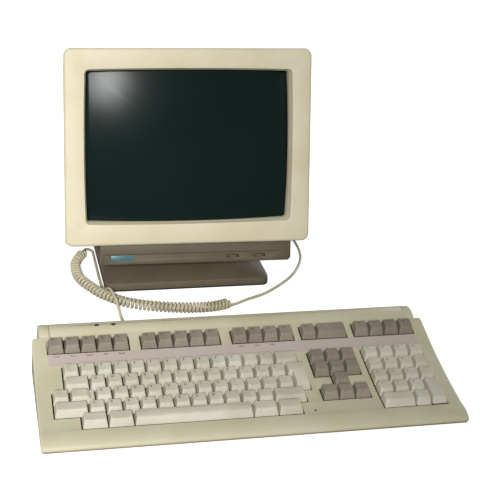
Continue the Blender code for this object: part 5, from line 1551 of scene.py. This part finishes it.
    def build_sounder_hole(self) -> None:
        """Marks the small sounder hole in front of the editing keys with a black disc, its painted shade."""
        x, depth = self.sounder
        seat = Matrix.Translation((x, depth, BANK.rise(depth))) @ Matrix.Rotation(BANK.angle(depth), 4, "X")
        # A flat black disc on the surface stands for the hole: painted shade, with no hole cut
        mesh = add_loft(bmesh.new(), [circle(self.sounder_radius, z, 24) for z in (-0.3 * MM, 0.05 * MM)])
        hole = to_object("sounder_hole", mesh, Finish.BLACK, self.place @ seat)
        deliver(hole, Body.STAND.value)

    def build(self) -> None:
        """Builds the case and everything fixed to it."""
        self.build_shell()
        self.build_film()
        self.build_words()
        self.build_seam()
        self.build_sounder_hole()


# Monitor


@dataclass
class Monitor:
    """The monitor's own pieces: bezel, tube, badge plate and a black strip of painted shadow in the chin's
    groove.

    Places on the front are across and up from the middle of the screen, and depths go back from it.
    """

    place: Matrix
    screen_width: float = 277.0 * MM
    screen_height: float = 203.4 * MM
    side: float = 27.8 * MM
    top: float = 28.4 * MM
    bottom: float = 30.0 * MM
    depth: float = 20.0 * MM
    corner: float = 10.0 * MM
    edge: float = 4.0 * MM
    draft: float = 1.0 * MM
    chamfer: float = 2.6 * MM
    chamfer_depth: float = 8.0 * MM
    chamfer_ease: float = 0.6 * MM
    wall: float = 3.2 * MM
    bow: float = 1.6 * MM
    opening_corner: float = 4.0 * MM
    face_depth: float = 6.6 * MM
    face_radius_across: float = 800.0 * MM
    face_radius_up: float = 850.0 * MM
    face_gap: float = 0.8 * MM
    face_half: tuple[float, float] = (140.0 * MM, 104.9 * MM)
    face_corner: float = 7.0 * MM
    plate_centre: tuple[float, float] = (-89.0 * MM, -151.8 * MM)
    plate_half: tuple[float, float] = (15.8 * MM, 3.8 * MM)
    plate_corner: float = 1.3 * MM
    plate_ease: float = 0.4 * MM
    groove_shadow_centre: tuple[float, float, float] = (9.0 * MM, 15.45 * MM, -147.0 * MM)
    groove_shadow_size: tuple[float, float, float] = (242.0 * MM, 0.3 * MM, 0.76 * MM)

    def outer(self, inset: float, depth: float) -> Loop:
        """The bezel's outline.

        Args:
            inset: how far it lies inside the bezel's widest outline.
            depth: its depth.

        Returns:
            The outline.
        """
        half_height = (self.screen_height + self.top + self.bottom) / 2 - inset
        centre = (0.0, (self.top - self.bottom) / 2)
        radius = self.corner - min(inset, self.wall)
        half_width = self.screen_width / 2 + self.side - inset
        return upright(rounded_rect(half_width, half_height, radius, 9, centre, 0.0, 9), depth)

    def opening(self, grow: float, depth: float) -> Loop:
        """The screen opening's bowed outline.

        Args:
            grow: the margin that it is grown by.
            depth: its depth.

        Returns:
            The outline.
        """
        half_width = self.screen_width / 2 - self.bow + grow
        half_height = self.screen_height / 2 - self.bow + grow
        radius = self.opening_corner + grow
        return upright(rounded_rect(half_width, half_height, radius, 9, (0.0, 0.0), self.bow, 9), depth)

    def face(self, x: float, z: float) -> float:
        """Depth of the tube's bulged face at a place on the screen."""
        return self.face_depth + x * x / self.face_radius_across / 2 + z * z / self.face_radius_up / 2

    def lip(self, grow: float) -> Loop:
        """The end of the opening's lip, which follows the tube's face a small gap before it.

        Args:
            grow: the margin that it is grown by.

        Returns:
            The outline.
        """
        inner = self.opening(0.0, 0.0)
        return [
            Vector((point.x, self.face(near.x, near.z) - self.face_gap, point.z))
            for point, near in zip(self.opening(grow, 0.0), inner)
        ]

    def build_bezel(self) -> None:
        """Builds the front frame with a rounded edge and a sloping, bowed opening."""
        rounding = [
            self.outer(self.edge * (1 - math.cos(a)), self.edge * (1 - math.sin(a)))
            for a in (math.radians(90 * i / 6) for i in range(7))
        ]
        ease = self.chamfer_ease
        loops = [self.outer(self.draft, self.depth), *rounding]
        loops += [
            self.opening(self.chamfer + ease, 0.0),
            self.opening(self.chamfer - ease * 0.4, ease * 0.35),
            self.opening(ease * 0.9, self.chamfer_depth - ease),
            self.opening(0.0, self.chamfer_depth + ease * 0.4),
            self.lip(0.0),
            self.lip(self.wall),
            self.opening(self.chamfer + self.wall, self.wall),
            self.outer(self.wall + self.draft, self.wall),
            self.outer(self.wall + self.draft, self.depth),
        ]
        bezel = to_object("bezel_frame", add_loft(bmesh.new(), loops, ring=True), Finish.BEZEL, self.place)
        soften(bezel, 0.0, angle=35.0)
        deliver(bezel, Body.MONITOR.value, ["front_bezel"])

    def build_tube(self) -> None:
        """Builds the tube: a smooth bulged face, funnel and neck, closed at the neck's end."""
        rim = rounded_rect(*self.face_half, self.face_corner, 8, (0.0, 0.0), 0.0, 7)
        face = [
            [Vector((x * share, self.face(x * share, z * share), z * share)) for x, z in rim]
            for share in (0.06, 0.2, 0.34, 0.48, 0.6, 0.7, 0.79, 0.87, 0.94, 1.0)
        ]
        # Depth, half width, half height and corner radius in millimetres, from the rim to the neck's end
        stations = [
            (27.0, 143.0, 107.9, 10.0),
            (40.0, 143.0, 107.9, 18.0),
            (70.0, 126.0, 94.0, 24.0),
            (100.0, 103.0, 78.0, 34.0),
            (130.0, 80.0, 62.0, 44.0),
            (150.0, 57.0, 49.0, 44.0),
            (168.0, 36.0, 36.0, 36.0),
            (180.0, 21.0, 21.0, 21.0),
            (186.0, 14.5, 14.5, 14.5),
            (300.7, 14.5, 14.5, 14.5),
        ]
        loops = [
            upright(rounded_rect(w * MM, h * MM, r * MM, 8, (0.0, 0.0), 0.0, 7), depth * MM)
            for depth, w, h, r in stations
        ]
        tube = to_object("tube_envelope", add_loft(bmesh.new(), face + loops), Finish.GLASS, self.place)
        soften(tube, 0.0, angle=60.0)
        deliver(tube, Body.MONITOR.value, ["picture_tube"])

    def build_plate(self) -> None:
        """Builds the blank enamelled plate that lies in the chin's seat."""
        half_width, half_height = self.plate_half
        plan = rounded_rect(half_width, half_height, self.plate_corner, 5, self.plate_centre)
        narrow = (half_width - self.plate_ease, half_height - self.plate_ease)
        inner = rounded_rect(*narrow, 1.0 * MM, 5, self.plate_centre)
        loops = [upright(plan, 15.5 * MM), upright(plan, 15.1 * MM), upright(inner, 14.9 * MM)]
        plate = to_object("badge_plate", add_loft(bmesh.new(), loops), Finish.PLATE, self.place)
        soften(plate, 0.0)
        deliver(plate, Body.MONITOR.value)

    def build_groove_shadow(self) -> None:
        """Lays a black strip in the groove that crosses the chin, as the groove's painted shadow."""
        # A thin black box inside the groove paints the groove's shadow
        mesh = add_box(bmesh.new(), self.groove_shadow_centre, self.groove_shadow_size)
        line = to_object("chin_groove", mesh, Finish.BLACK, self.place)
        deliver(line, Body.MONITOR.value)

    def build(self) -> None:
        """Builds the monitor's own pieces."""
        self.build_bezel()
        self.build_tube()
        self.build_plate()
        self.build_groove_shadow()


@dataclass(frozen=True)
class Softened:
    """A solid whose shape is right: it is copied, its edges are eased and it gets its finish."""

    node: str
    finish: Finish
    slot: str
    body: str
    edge: float = 0.4 * MM
    angle: float = 35.0
    weld: float = 0.01 * MM
    flat: float = 0.5

    def build(self, nodes: dict[str, bpy.types.Object]) -> None:
        """Copies the solid, joins its loose triangles, eases its edges and hands it over.

        Args:
            nodes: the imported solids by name.
        """
        mesh = bmesh.new()
        mesh.from_mesh(nodes[self.node].data)
        bmesh.ops.remove_doubles(mesh, verts=mesh.verts, dist=self.weld)
        flat = math.radians(self.flat)
        bmesh.ops.dissolve_limit(mesh, angle_limit=flat, verts=mesh.verts, edges=mesh.edges)
        piece = to_object(f"{self.node}_part", mesh, self.finish)
        soften(piece, self.edge, 2, self.angle)
        deliver(piece, self.body, [self.node])


@dataclass(frozen=True)
class Repainted:
    """A solid that stays as it is and only gets its finish."""

    node: str
    finish: Finish

    def build(self, nodes: dict[str, bpy.types.Object]) -> None:
        """Puts the finish in the solid's material slots.

        Args:
            nodes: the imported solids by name.
        """
        for slot in nodes[self.node].material_slots:
            slot.material = self.finish.material()
        log.info("%s keeps its solid", self.node)


SOFTENED_SOLIDS = [
    Softened("rear_housing", Finish.BEZEL, "bezel_plastic", Body.MONITOR.value, 1.2 * MM),
    Softened("chassis_tray", Finish.CHIN, "grey_brown_plastic", Body.MONITOR.value, 0.5 * MM),
    Softened("swivel_dome", Finish.CHIN, "grey_brown_plastic", Body.MONITOR.value, 0.0),
    Softened("swivel_dish", Finish.CHIN, "grey_brown_plastic", Body.STAGE.value, 0.4 * MM),
    Softened("foot_base", Finish.CHIN, "grey_brown_plastic", Body.STAND.value, 0.9 * MM),
    Softened("keyboard_bottom_case", Finish.UNDERSIDE, "grey_brown_plastic", Body.STAND.value, 0.3 * MM),
    Softened("serial_port", Finish.STEEL, "steel", Body.MONITOR.value, 0.2 * MM),
    Softened("communication_sockets", Finish.BLACK, "black_plastic", Body.MONITOR.value, 0.2 * MM),
    Softened("keyboard_jack", Finish.BLACK, "black_plastic", Body.MONITOR.value, 0.2 * MM),
    Softened("power_inlet", Finish.BLACK, "black_plastic", Body.MONITOR.value, 0.4 * MM),
    Softened("power_switch", Finish.BLACK, "black_plastic", "power_switch", 0.4 * MM),
    Softened("brightness_wheel", Finish.CHIN, "black_plastic", "brightness_wheel", 0.15 * MM),
    Softened("contrast_wheel", Finish.CHIN, "black_plastic", "contrast_wheel", 0.15 * MM),
    Softened("left_height_foot", Finish.CASE, "keyboard_plastic", "left_height_foot", 0.8 * MM, 40.0),
    Softened("right_height_foot", Finish.CASE, "keyboard_plastic", "right_height_foot", 0.8 * MM, 40.0),
    Softened("keyboard_plug", Finish.CORD, "black_plastic", Body.STAND.value, 0.3 * MM),
    Softened("terminal_plug", Finish.CORD, "black_plastic", Body.MONITOR.value, 0.3 * MM),
    Softened("front_rubber_strip", Finish.RUBBER, "rubber", Body.STAND.value, 0.3 * MM),
    Softened("rear_rubber_strip", Finish.RUBBER, "rubber", Body.STAND.value, 0.3 * MM),
    Softened("foot_rubber_ring", Finish.RUBBER, "rubber", Body.STAND.value, 0.2 * MM),
]

REPAINTED_SOLIDS = [
    Repainted("tube_rim_band", Finish.STEEL),
    Repainted("swivel_clip", Finish.STEEL),
    # The guide frame's dark colour is painted shade in the gaps between the keys
    Repainted("key_guide_frame", Finish.PAINTED_SHADE_STEEL),
    Repainted("deflection_yoke", Finish.COPPER),
    Repainted("tube_socket_board", Finish.BOARD),
    Repainted("main_board", Finish.BOARD),
    Repainted("keyboard_circuit_board", Finish.BOARD),
    Repainted("flyback_transformer", Finish.BLACK),
    Repainted("status_light_pipe", Finish.BLACK),
]


@dataclass(frozen=True)
class Tray:
    """Where the monitor's tray stands on its ball, and the sizes of it that place the sockets."""

    ball: tuple[float, float, float] = (-15.3 * MM, 447.1 * MM, 130.0 * MM)
    turn: float = math.radians(-1.62)
    tilt: float = math.radians(14.96)
    ahead: float = 102.4 * MM
    above: float = 43.7 * MM
    drop: float = 80.0 * MM
    back: float = 326.0 * MM
    back_height: float = 27.0 * MM

    def socket_line(self) -> float:
        """Height of the middle of the sockets in the screen's frame."""
        rise = ((self.back - self.ahead) * math.sin(self.tilt) - self.drop) / math.cos(self.tilt)
        return -self.above + rise + self.back_height / 2

    def screen(self, keyboard: Matrix) -> Matrix:
        """The frame of the screen: on the ball, turned, tilted and set forward.

        Args:
            keyboard: the keyboard's frame.

        Returns:
            The screen's frame.
        """
        turned = Matrix.Rotation(self.turn, 4, "Z") @ Matrix.Rotation(-self.tilt, 4, "X")
        forward = Matrix.Translation((0, -self.ahead, self.above))
        return keyboard @ Matrix.Translation(self.ball) @ turned @ forward


TRAY = Tray()


# Cord


@dataclass
class Cord:
    """The cord from the keyboard to the monitor: a lead, a coiled stretch and a longer lead.

    It repeats the route of the solids, whose points are in millimetres in the keyboard's frame. It is
    made in two pieces, cut where it last lies below the height tilts_from.
    """

    place: Matrix
    monitor: Matrix
    radius: float = 2.0 * MM
    outer: float = 7.4 * MM
    curls: int = 53
    slack: float = 0.2
    opening_curls: float = 0.8
    points_per_curl: int = 16
    lift: float = 0.1 * MM
    sharpest: float = math.radians(12)
    plug_outside: float = 13.0 * MM
    plug_gap: float = 0.3 * MM
    plug_angle: float = math.radians(-20)
    jack_proud: float = 1.2 * MM
    length: float = 2.73
    still_to: float = 135 * MM
    swings_from: float = 345 * MM
    tilts_from: float = 19 * MM
    plug_height: float = 52 * MM

    def smooth(
        self,
        points: Sequence[Sequence[float]],
        spacing: float,
        bend: float = math.tau,
    ) -> list[Vector]:
        """A smooth curve through given points.

        Args:
            points: the route's points.
            spacing: the greatest distance between the points that come back.
            bend: the greatest turn between them, in radians.

        Returns:
            The curve's points, closer where it bends.
        """
        route = [Vector(point) for point in points]
        ends = [route[0] * 2 - route[1], *route, route[-1] * 2 - route[-2]]
        dense: list[Vector] = []
        steps = 24
        for a, b, c, d in zip(ends, ends[1:], ends[2:], ends[3:]):
            for step in range(steps):
                t = step / steps
                curve = 2 * b + (c - a) * t
                curve = curve + (2 * a - 5 * b + 4 * c - d) * (t * t)
                curve = curve + (3 * b - a - 3 * c + d) * (t * t * t)
                dense.append(curve / 2)
        dense.append(route[-1])
        costs = [0.0]
        heading = (dense[1] - dense[0]).normalized()
        for a, b in zip(dense, dense[1:]):
            move = b - a
            costs.append(costs[-1] + move.length / spacing + heading.angle(move, 0.0) / bend)
            heading = move.normalized()
        count = max(2, round(costs[-1]))
        found: list[Vector] = []
        index = 0
        for i in range(count + 1):
            wanted = costs[-1] * i / count
            while index < len(costs) - 2 and costs[index + 1] < wanted:
                index += 1
            share = (wanted - costs[index]) / max(costs[index + 1] - costs[index], 1e-12)
            found.append(dense[index].lerp(dense[index + 1], min(share, 1.0)))
        return found

    def on_table(self, x: float, y: float, lift: float = 0.0) -> Vector:
        """A point of the cord's middle line on the table, or a lift above it, from millimetres."""
        return Vector((x * MM, y * MM, self.radius + self.lift + lift * MM))

    def coil(self) -> tuple[list[Vector], Vector, Vector]:
        """The coiled stretch.

        Returns:
            Its points, and its directions where it starts and where it ends.
        """
        plan = [(-147.5, 452), (-151, 440), (-158.5, 424), (-164.5, 402), (-162.5, 365), (-148.5, 334)]
        plan += [(-133.5, 312), (-109.5, 290), (-77.5, 276), (-44.5, 268), (-11.5, 265), (14.5, 268)]
        plan.append((34.5, 277))
        line = self.smooth([(x * MM, y * MM, self.outer + self.lift) for x, y in plan], 1.0 * MM)
        winding = self.outer - self.radius
        total = self.curls * self.points_per_curl
        count = len(line) - 1
        length = sum((b - a).length for a, b in zip(line, line[1:]))
        lead_in = self.radius * 3
        near = 0.004

        def at(share: float) -> Vector:
            """The route's point at a share of its length.

            Args:
                share: the share, which is held between nought and one.

            Returns:
                The point.
            """
            place = max(0.0, min(share, 1.0)) * count
            index = min(int(place), count - 1)
            return line[index].lerp(line[index + 1], place - index)

        sink = Vector((0, 0, winding))
        points: list[Vector] = []
        for i in range(total + 1):
            # The curls stand further apart towards the far end, where the coil bends round
            share = (1 - self.slack) * i / total + self.slack * (1 - (1 - i / total) ** 3)
            along = (share * (length - lead_in * 2) + lead_in) / length
            ahead = (at(along + near) - at(along - near)).normalized()
            sideways = ahead.cross(Vector((0, 0, 1))).normalized()
            above = sideways.cross(ahead)
            turned = self.curls * i / total
            # The first and the last curl open out of the straight wire
            reach = min(1.0, min(turned, self.curls - turned) / self.opening_curls)
            opened = reach * reach * (3 - 2 * reach)
            angle = math.tau * turned - math.pi / 2
            ring = (sideways * math.cos(angle) + above * math.sin(angle)) * winding
            points.append(at(along) - sink * (1 - opened) + ring * opened)
        first, last = (at(near) - at(0.0)).normalized(), (at(1.0) - at(1.0 - near)).normalized()
        start, end = at(0.0) - sink, at(1.0) - sink
        points = [start, start + first * self.radius * 2, *points, end - last * self.radius * 2, end]
        return points, first, last

    def keyboard_lead(self, meeting: Vector, first: Vector) -> list[Vector]:
        """The lead from the keyboard's plug over the coil to the coil's far end.

        Args:
            meeting: where the coil starts.
            first: the coil's direction there.

        Returns:
            The lead's points.
        """
        straight = self.radius * 2
        case = KeyboardCase(self.place)
        edge = case.bar_depth + case.bar_radius * math.cos(self.plug_angle) + self.plug_gap
        leave = Vector((case.cord_side, edge + self.plug_outside + self.plug_gap, case.cord_height))
        away = Vector((0, 1, 0))
        points = [leave, leave + away * straight, leave + away * straight * 2.4 - Vector((0, 0, 2 * MM))]
        table = self.on_table
        points += [table(-113, 216), table(-115.5, 232), table(-118.5, 252, 1)]
        # It climbs over the coil, which lies across its way
        points += [table(-120.5, 266, 7.2), table(-122.5, 282, 14.5), table(-124.5, 298, 15.2)]
        points += [table(-127, 314, 13.4), table(-130.5, 330, 4.6)]
        points += [table(-133.5, 346), table(-134.2, 370), table(-134.2, 400), table(-134.2, 430)]
        points += [table(-134, 452), table(-136, 460), table(-140.7, 464), table(-145.2, 462)]
        points += [meeting - first * straight, meeting]
        return self.smooth(points, self.radius * 4, self.sharpest)

    def monitor_lead(self, meeting: Vector, last: Vector) -> list[Vector]:
        """The lead from the coil round the foot to the plug behind the monitor.

        Args:
            meeting: where the coil ends.
            last: the coil's direction there.

        Returns:
            The lead's points.
        """
        straight = self.radius * 2
        screen = self.place.inverted() @ self.monitor
        mouth = TRAY.back + self.plug_gap + self.jack_proud + self.plug_outside + self.plug_gap
        plug_end = screen @ Vector((0, mouth, TRAY.socket_line()))
        outward = (screen.to_3x3() @ Vector((0, 1, 0))).normalized()
        table = self.on_table
        points = [meeting, meeting + last * straight, meeting + last * straight * 2]
        points += [table(58, 290), table(84, 303), table(108, 322), table(134, 348), table(154, 378)]
        points += [table(168, 412), table(173, 450), table(171, 500), table(163, 560), table(146, 620)]
        points += [table(116, 672), table(76, 706), table(40, 719), table(14, 720, 1.5)]
        # It rises from the table and bends back into its plug
        points += [Vector((-2, 717.5, 9)) * MM, Vector((-11.5, 712.5, 22)) * MM]
        points += [plug_end + outward * 17 * MM + Vector((2, 0, -12)) * MM, plug_end + outward * straight * 2]
        points += [plug_end + outward * straight, plug_end]
        return self.smooth(points, self.radius * 4, self.sharpest)

    def tube(self, name: str, points: Sequence[Vector]) -> bpy.types.Object:
        """A round closed mesh tube along a line of points.

        Args:
            name: the piece's name.
            points: the middle line, in the shared frame.

        Returns:
            The tube, in the cord's plastic.
        """
        curve = bpy.data.curves.new(f"{name}_line", "CURVE")
        curve.dimensions = "3D"
        curve.bevel_depth = self.radius
        curve.bevel_resolution = 3
        curve.use_fill_caps = True
        spline = curve.splines.new("POLY")
        spline.points.add(len(points) - 1)
        for target, point in zip(spline.points, points):
            target.co = (*point, 1.0)
        spline.use_smooth = True
        curve.materials.append(Finish.CORD.material())
        line = add_object(f"{name}_line", curve)
        piece = add_object(name, settled_mesh(line))
        bpy.data.objects.remove(line)
        return piece

    def build(self) -> None:
        coil, first, last = self.coil()
        lead = self.keyboard_lead(coil[0], first)
        tail = self.monitor_lead(coil[-1], last)
        points = lead[:-1] + coil + tail[1:]
        lowest = self.radius + self.lift
        points = [self.place @ Vector((p.x, p.y, max(p.z, lowest))) for p in points]
        # Behind the monitor the cord rises from the table to its plug, in a piece of its own
        split = max(i for i, point in enumerate(points) if point.z < self.tilts_from)
        cord = self.tube("coiled_cord", points[: split + 1])
        rising = self.tube("terminal_lead_end", points[split:])
        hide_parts("keyboard_lead", "curly_cord", "terminal_lead")
        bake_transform(cord)
        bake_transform(rising)
        log.info("%s and %s run from the keyboard to the monitor", cord.name, rising.name)


# Floor, light and camera


@dataclass(frozen=True)
class Lamp:
    """A square soft lamp: where it hangs, its target, its side, its watts and its spread in degrees."""

    name: str
    place: tuple[float, float, float]
    target: tuple[float, float, float]
    size: float
    power: float
    spread: float

    def hang(self) -> None:
        """Adds the lamp to the scene."""
        lamp = bpy.data.lights.new(self.name, "AREA")
        lamp.spread = math.radians(self.spread)
        lamp.size = self.size
        lamp.energy = self.power
        holder = add_object(self.name, lamp)
        holder.location = self.place
        aim = Vector(self.target) - Vector(self.place)
        holder.rotation_euler = aim.to_track_quat("-Z", "Y").to_euler()


LAMPS = [
    # Beside the camera, and narrow, so that the light falls off towards the right as in the photograph
    Lamp("front", (-0.87, -3.18, 1.74), (-0.62, -0.1, 0.19), 0.5, 9.6, 42.0),
    # Wide and weak, for the tops of the keys and of the monitor
    Lamp("overhead", (-0.6, 0.1, 2.2), (-0.1, 0.0, 0.0), 1.6, 2.5, 180.0),
    # Low on both sides, for the back
    Lamp("low_left", (-2.3, 2.0, 0.55), (0.0, 0.2, 0.15), 1.2, 4.0, 60.0),
    Lamp("low_right", (2.3, 2.0, 0.55), (0.0, 0.2, 0.15), 1.2, 5.5, 60.0),
]


@dataclass
class Studio:
    """The pale floor, the soft light of the room and the camera of the photograph.

    The eye is in millimetres in the keyboard's frame, and the focal length and the slide of the
    image are in pixels of a square image.
    """

    place: Matrix
    eye: tuple[float, float, float] = (-305.64, -1007.31, 719.33)
    yaw: float = 0.2099
    pitch: float = -0.3955
    roll: float = 0.0512
    focal_pixels: float = 1119.5
    image: float = 500.0
    slide: tuple[float, float] = (60.0, -60.0)
    sensor: float = 36.0
    far: float = 20.0
    floor_half: float = 12.0
    floor_glow: float = 0.74
    room_light: float = 0.28

    def build_camera(self) -> None:
        """Sets the camera where the photograph was taken from."""
        level_way = (math.sin(self.yaw), math.cos(self.yaw))
        forward = Vector((*(part * math.cos(self.pitch) for part in level_way), math.sin(self.pitch)))
        side = Vector((math.cos(self.yaw), -math.sin(self.yaw), 0))
        up = side.cross(forward)
        across = side * math.cos(self.roll) + up * math.sin(self.roll)
        above = up * math.cos(self.roll) - side * math.sin(self.roll)
        turn = Matrix((across, above, -forward)).transposed().to_4x4()
        lens = bpy.data.cameras.new("camera")
        lens.sensor_width = self.sensor
        lens.lens = self.sensor * self.focal_pixels / self.image
        lens.shift_x = self.slide[0] / self.image
        lens.shift_y = self.slide[1] / self.image
        lens.clip_end = self.far
        camera = add_object("camera", lens)
        camera.matrix_world = self.place @ Matrix.Translation(Vector(self.eye) * MM) @ turn
        bpy.context.scene.camera = camera

    def build_floor(self) -> None:
        """Lays the pale floor, a painted board: white to the camera, and darker only in the shadow."""
        made, tree = bare_material("pale_painted_board")
        seen = add_node(tree, "ShaderNodeLightPath").outputs["Is Camera Ray"]
        # It is white to the camera and mid grey to the light that bounces off it
        tone = add_node(
            tree,
            "ShaderNodeMix",
            {"data_type": "RGBA", 6: linear("#8E8D89"), 7: linear("#F4F4F2")},
            {0: seen},
        )
        glow = add_node(tree, "ShaderNodeMath", {"operation": "MULTIPLY", 1: self.floor_glow}, {0: seen})
        shader = add_node(
            tree,
            "ShaderNodeBsdfPrincipled",
            {"Roughness": 0.9, "Specular IOR Level": 0.1, "Emission Color": (1, 1, 1, 1)},
            {"Base Color": tone.outputs[2], "Emission Strength": glow.outputs["Value"]},
        )
        add_node(tree, "ShaderNodeOutputMaterial", {}, {"Surface": shader.outputs["BSDF"]})
        mesh = bmesh.new()
        half = self.floor_half
        plan = ((-half, -half), (half, -half), (half, half), (-half, half))
        mesh.faces.new([mesh.verts.new((x, y, 0)) for x, y in plan])
        data = bpy.data.meshes.new("floor")
        mesh.to_mesh(data)
        mesh.free()
        data.materials.append(made)
        add_object("floor", data)

    def build_lights(self) -> None:
        """Hangs the lamps and lights the room, which is plain white to the camera."""
        for lamp in LAMPS:
            lamp.hang()
        world = bpy.data.worlds.new("studio")
        world.use_nodes = True
        tree = world.node_tree
        tree.nodes.clear()
        seen = add_node(tree, "ShaderNodeLightPath").outputs["Is Camera Ray"]
        tinted = {"Color": linear("#F4F6F8"), "Strength": self.room_light}
        fill = add_node(tree, "ShaderNodeBackground", tinted)
        white = add_node(tree, "ShaderNodeBackground", {"Color": (1, 1, 1, 1), "Strength": 1.0})
        mix = add_node(
            tree,
            "ShaderNodeMixShader",
            {},
            {0: seen, 1: fill.outputs["Background"], 2: white.outputs["Background"]},
        )
        add_node(tree, "ShaderNodeOutputWorld", {}, {"Surface": mix.outputs["Shader"]})
        bpy.context.scene.world = world
        bpy.context.scene.view_settings.view_transform = "Standard"

    def build(self) -> None:
        """Builds the camera, the floor and the lights."""
        self.build_camera()
        self.build_floor()
        self.build_lights()


def keyboard_place() -> Matrix:
    """The keyboard's frame, found from the front rubber strip, which lies at its zero depth."""
    low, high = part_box("front_rubber_strip")
    return Matrix.Translation((0, (low.y + high.y) / 2, 0))


def main() -> None:
    """Builds every sub-assembly in order."""
    logging.basicConfig(level=logging.INFO, format="%(message)s")
    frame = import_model()
    keyboard = keyboard_place()
    screen = TRAY.screen(keyboard)
    nodes = frame["nodes"]
    Studio(keyboard).build()
    for softened in SOFTENED_SOLIDS:
        softened.build(nodes)
    for repainted in REPAINTED_SOLIDS:
        repainted.build(nodes)
    Cord(keyboard, screen).build()
    KeyboardCase(keyboard).build()
    KeyBank(keyboard).build()
    Monitor(screen).build()


if __name__ == "__main__":
    main()
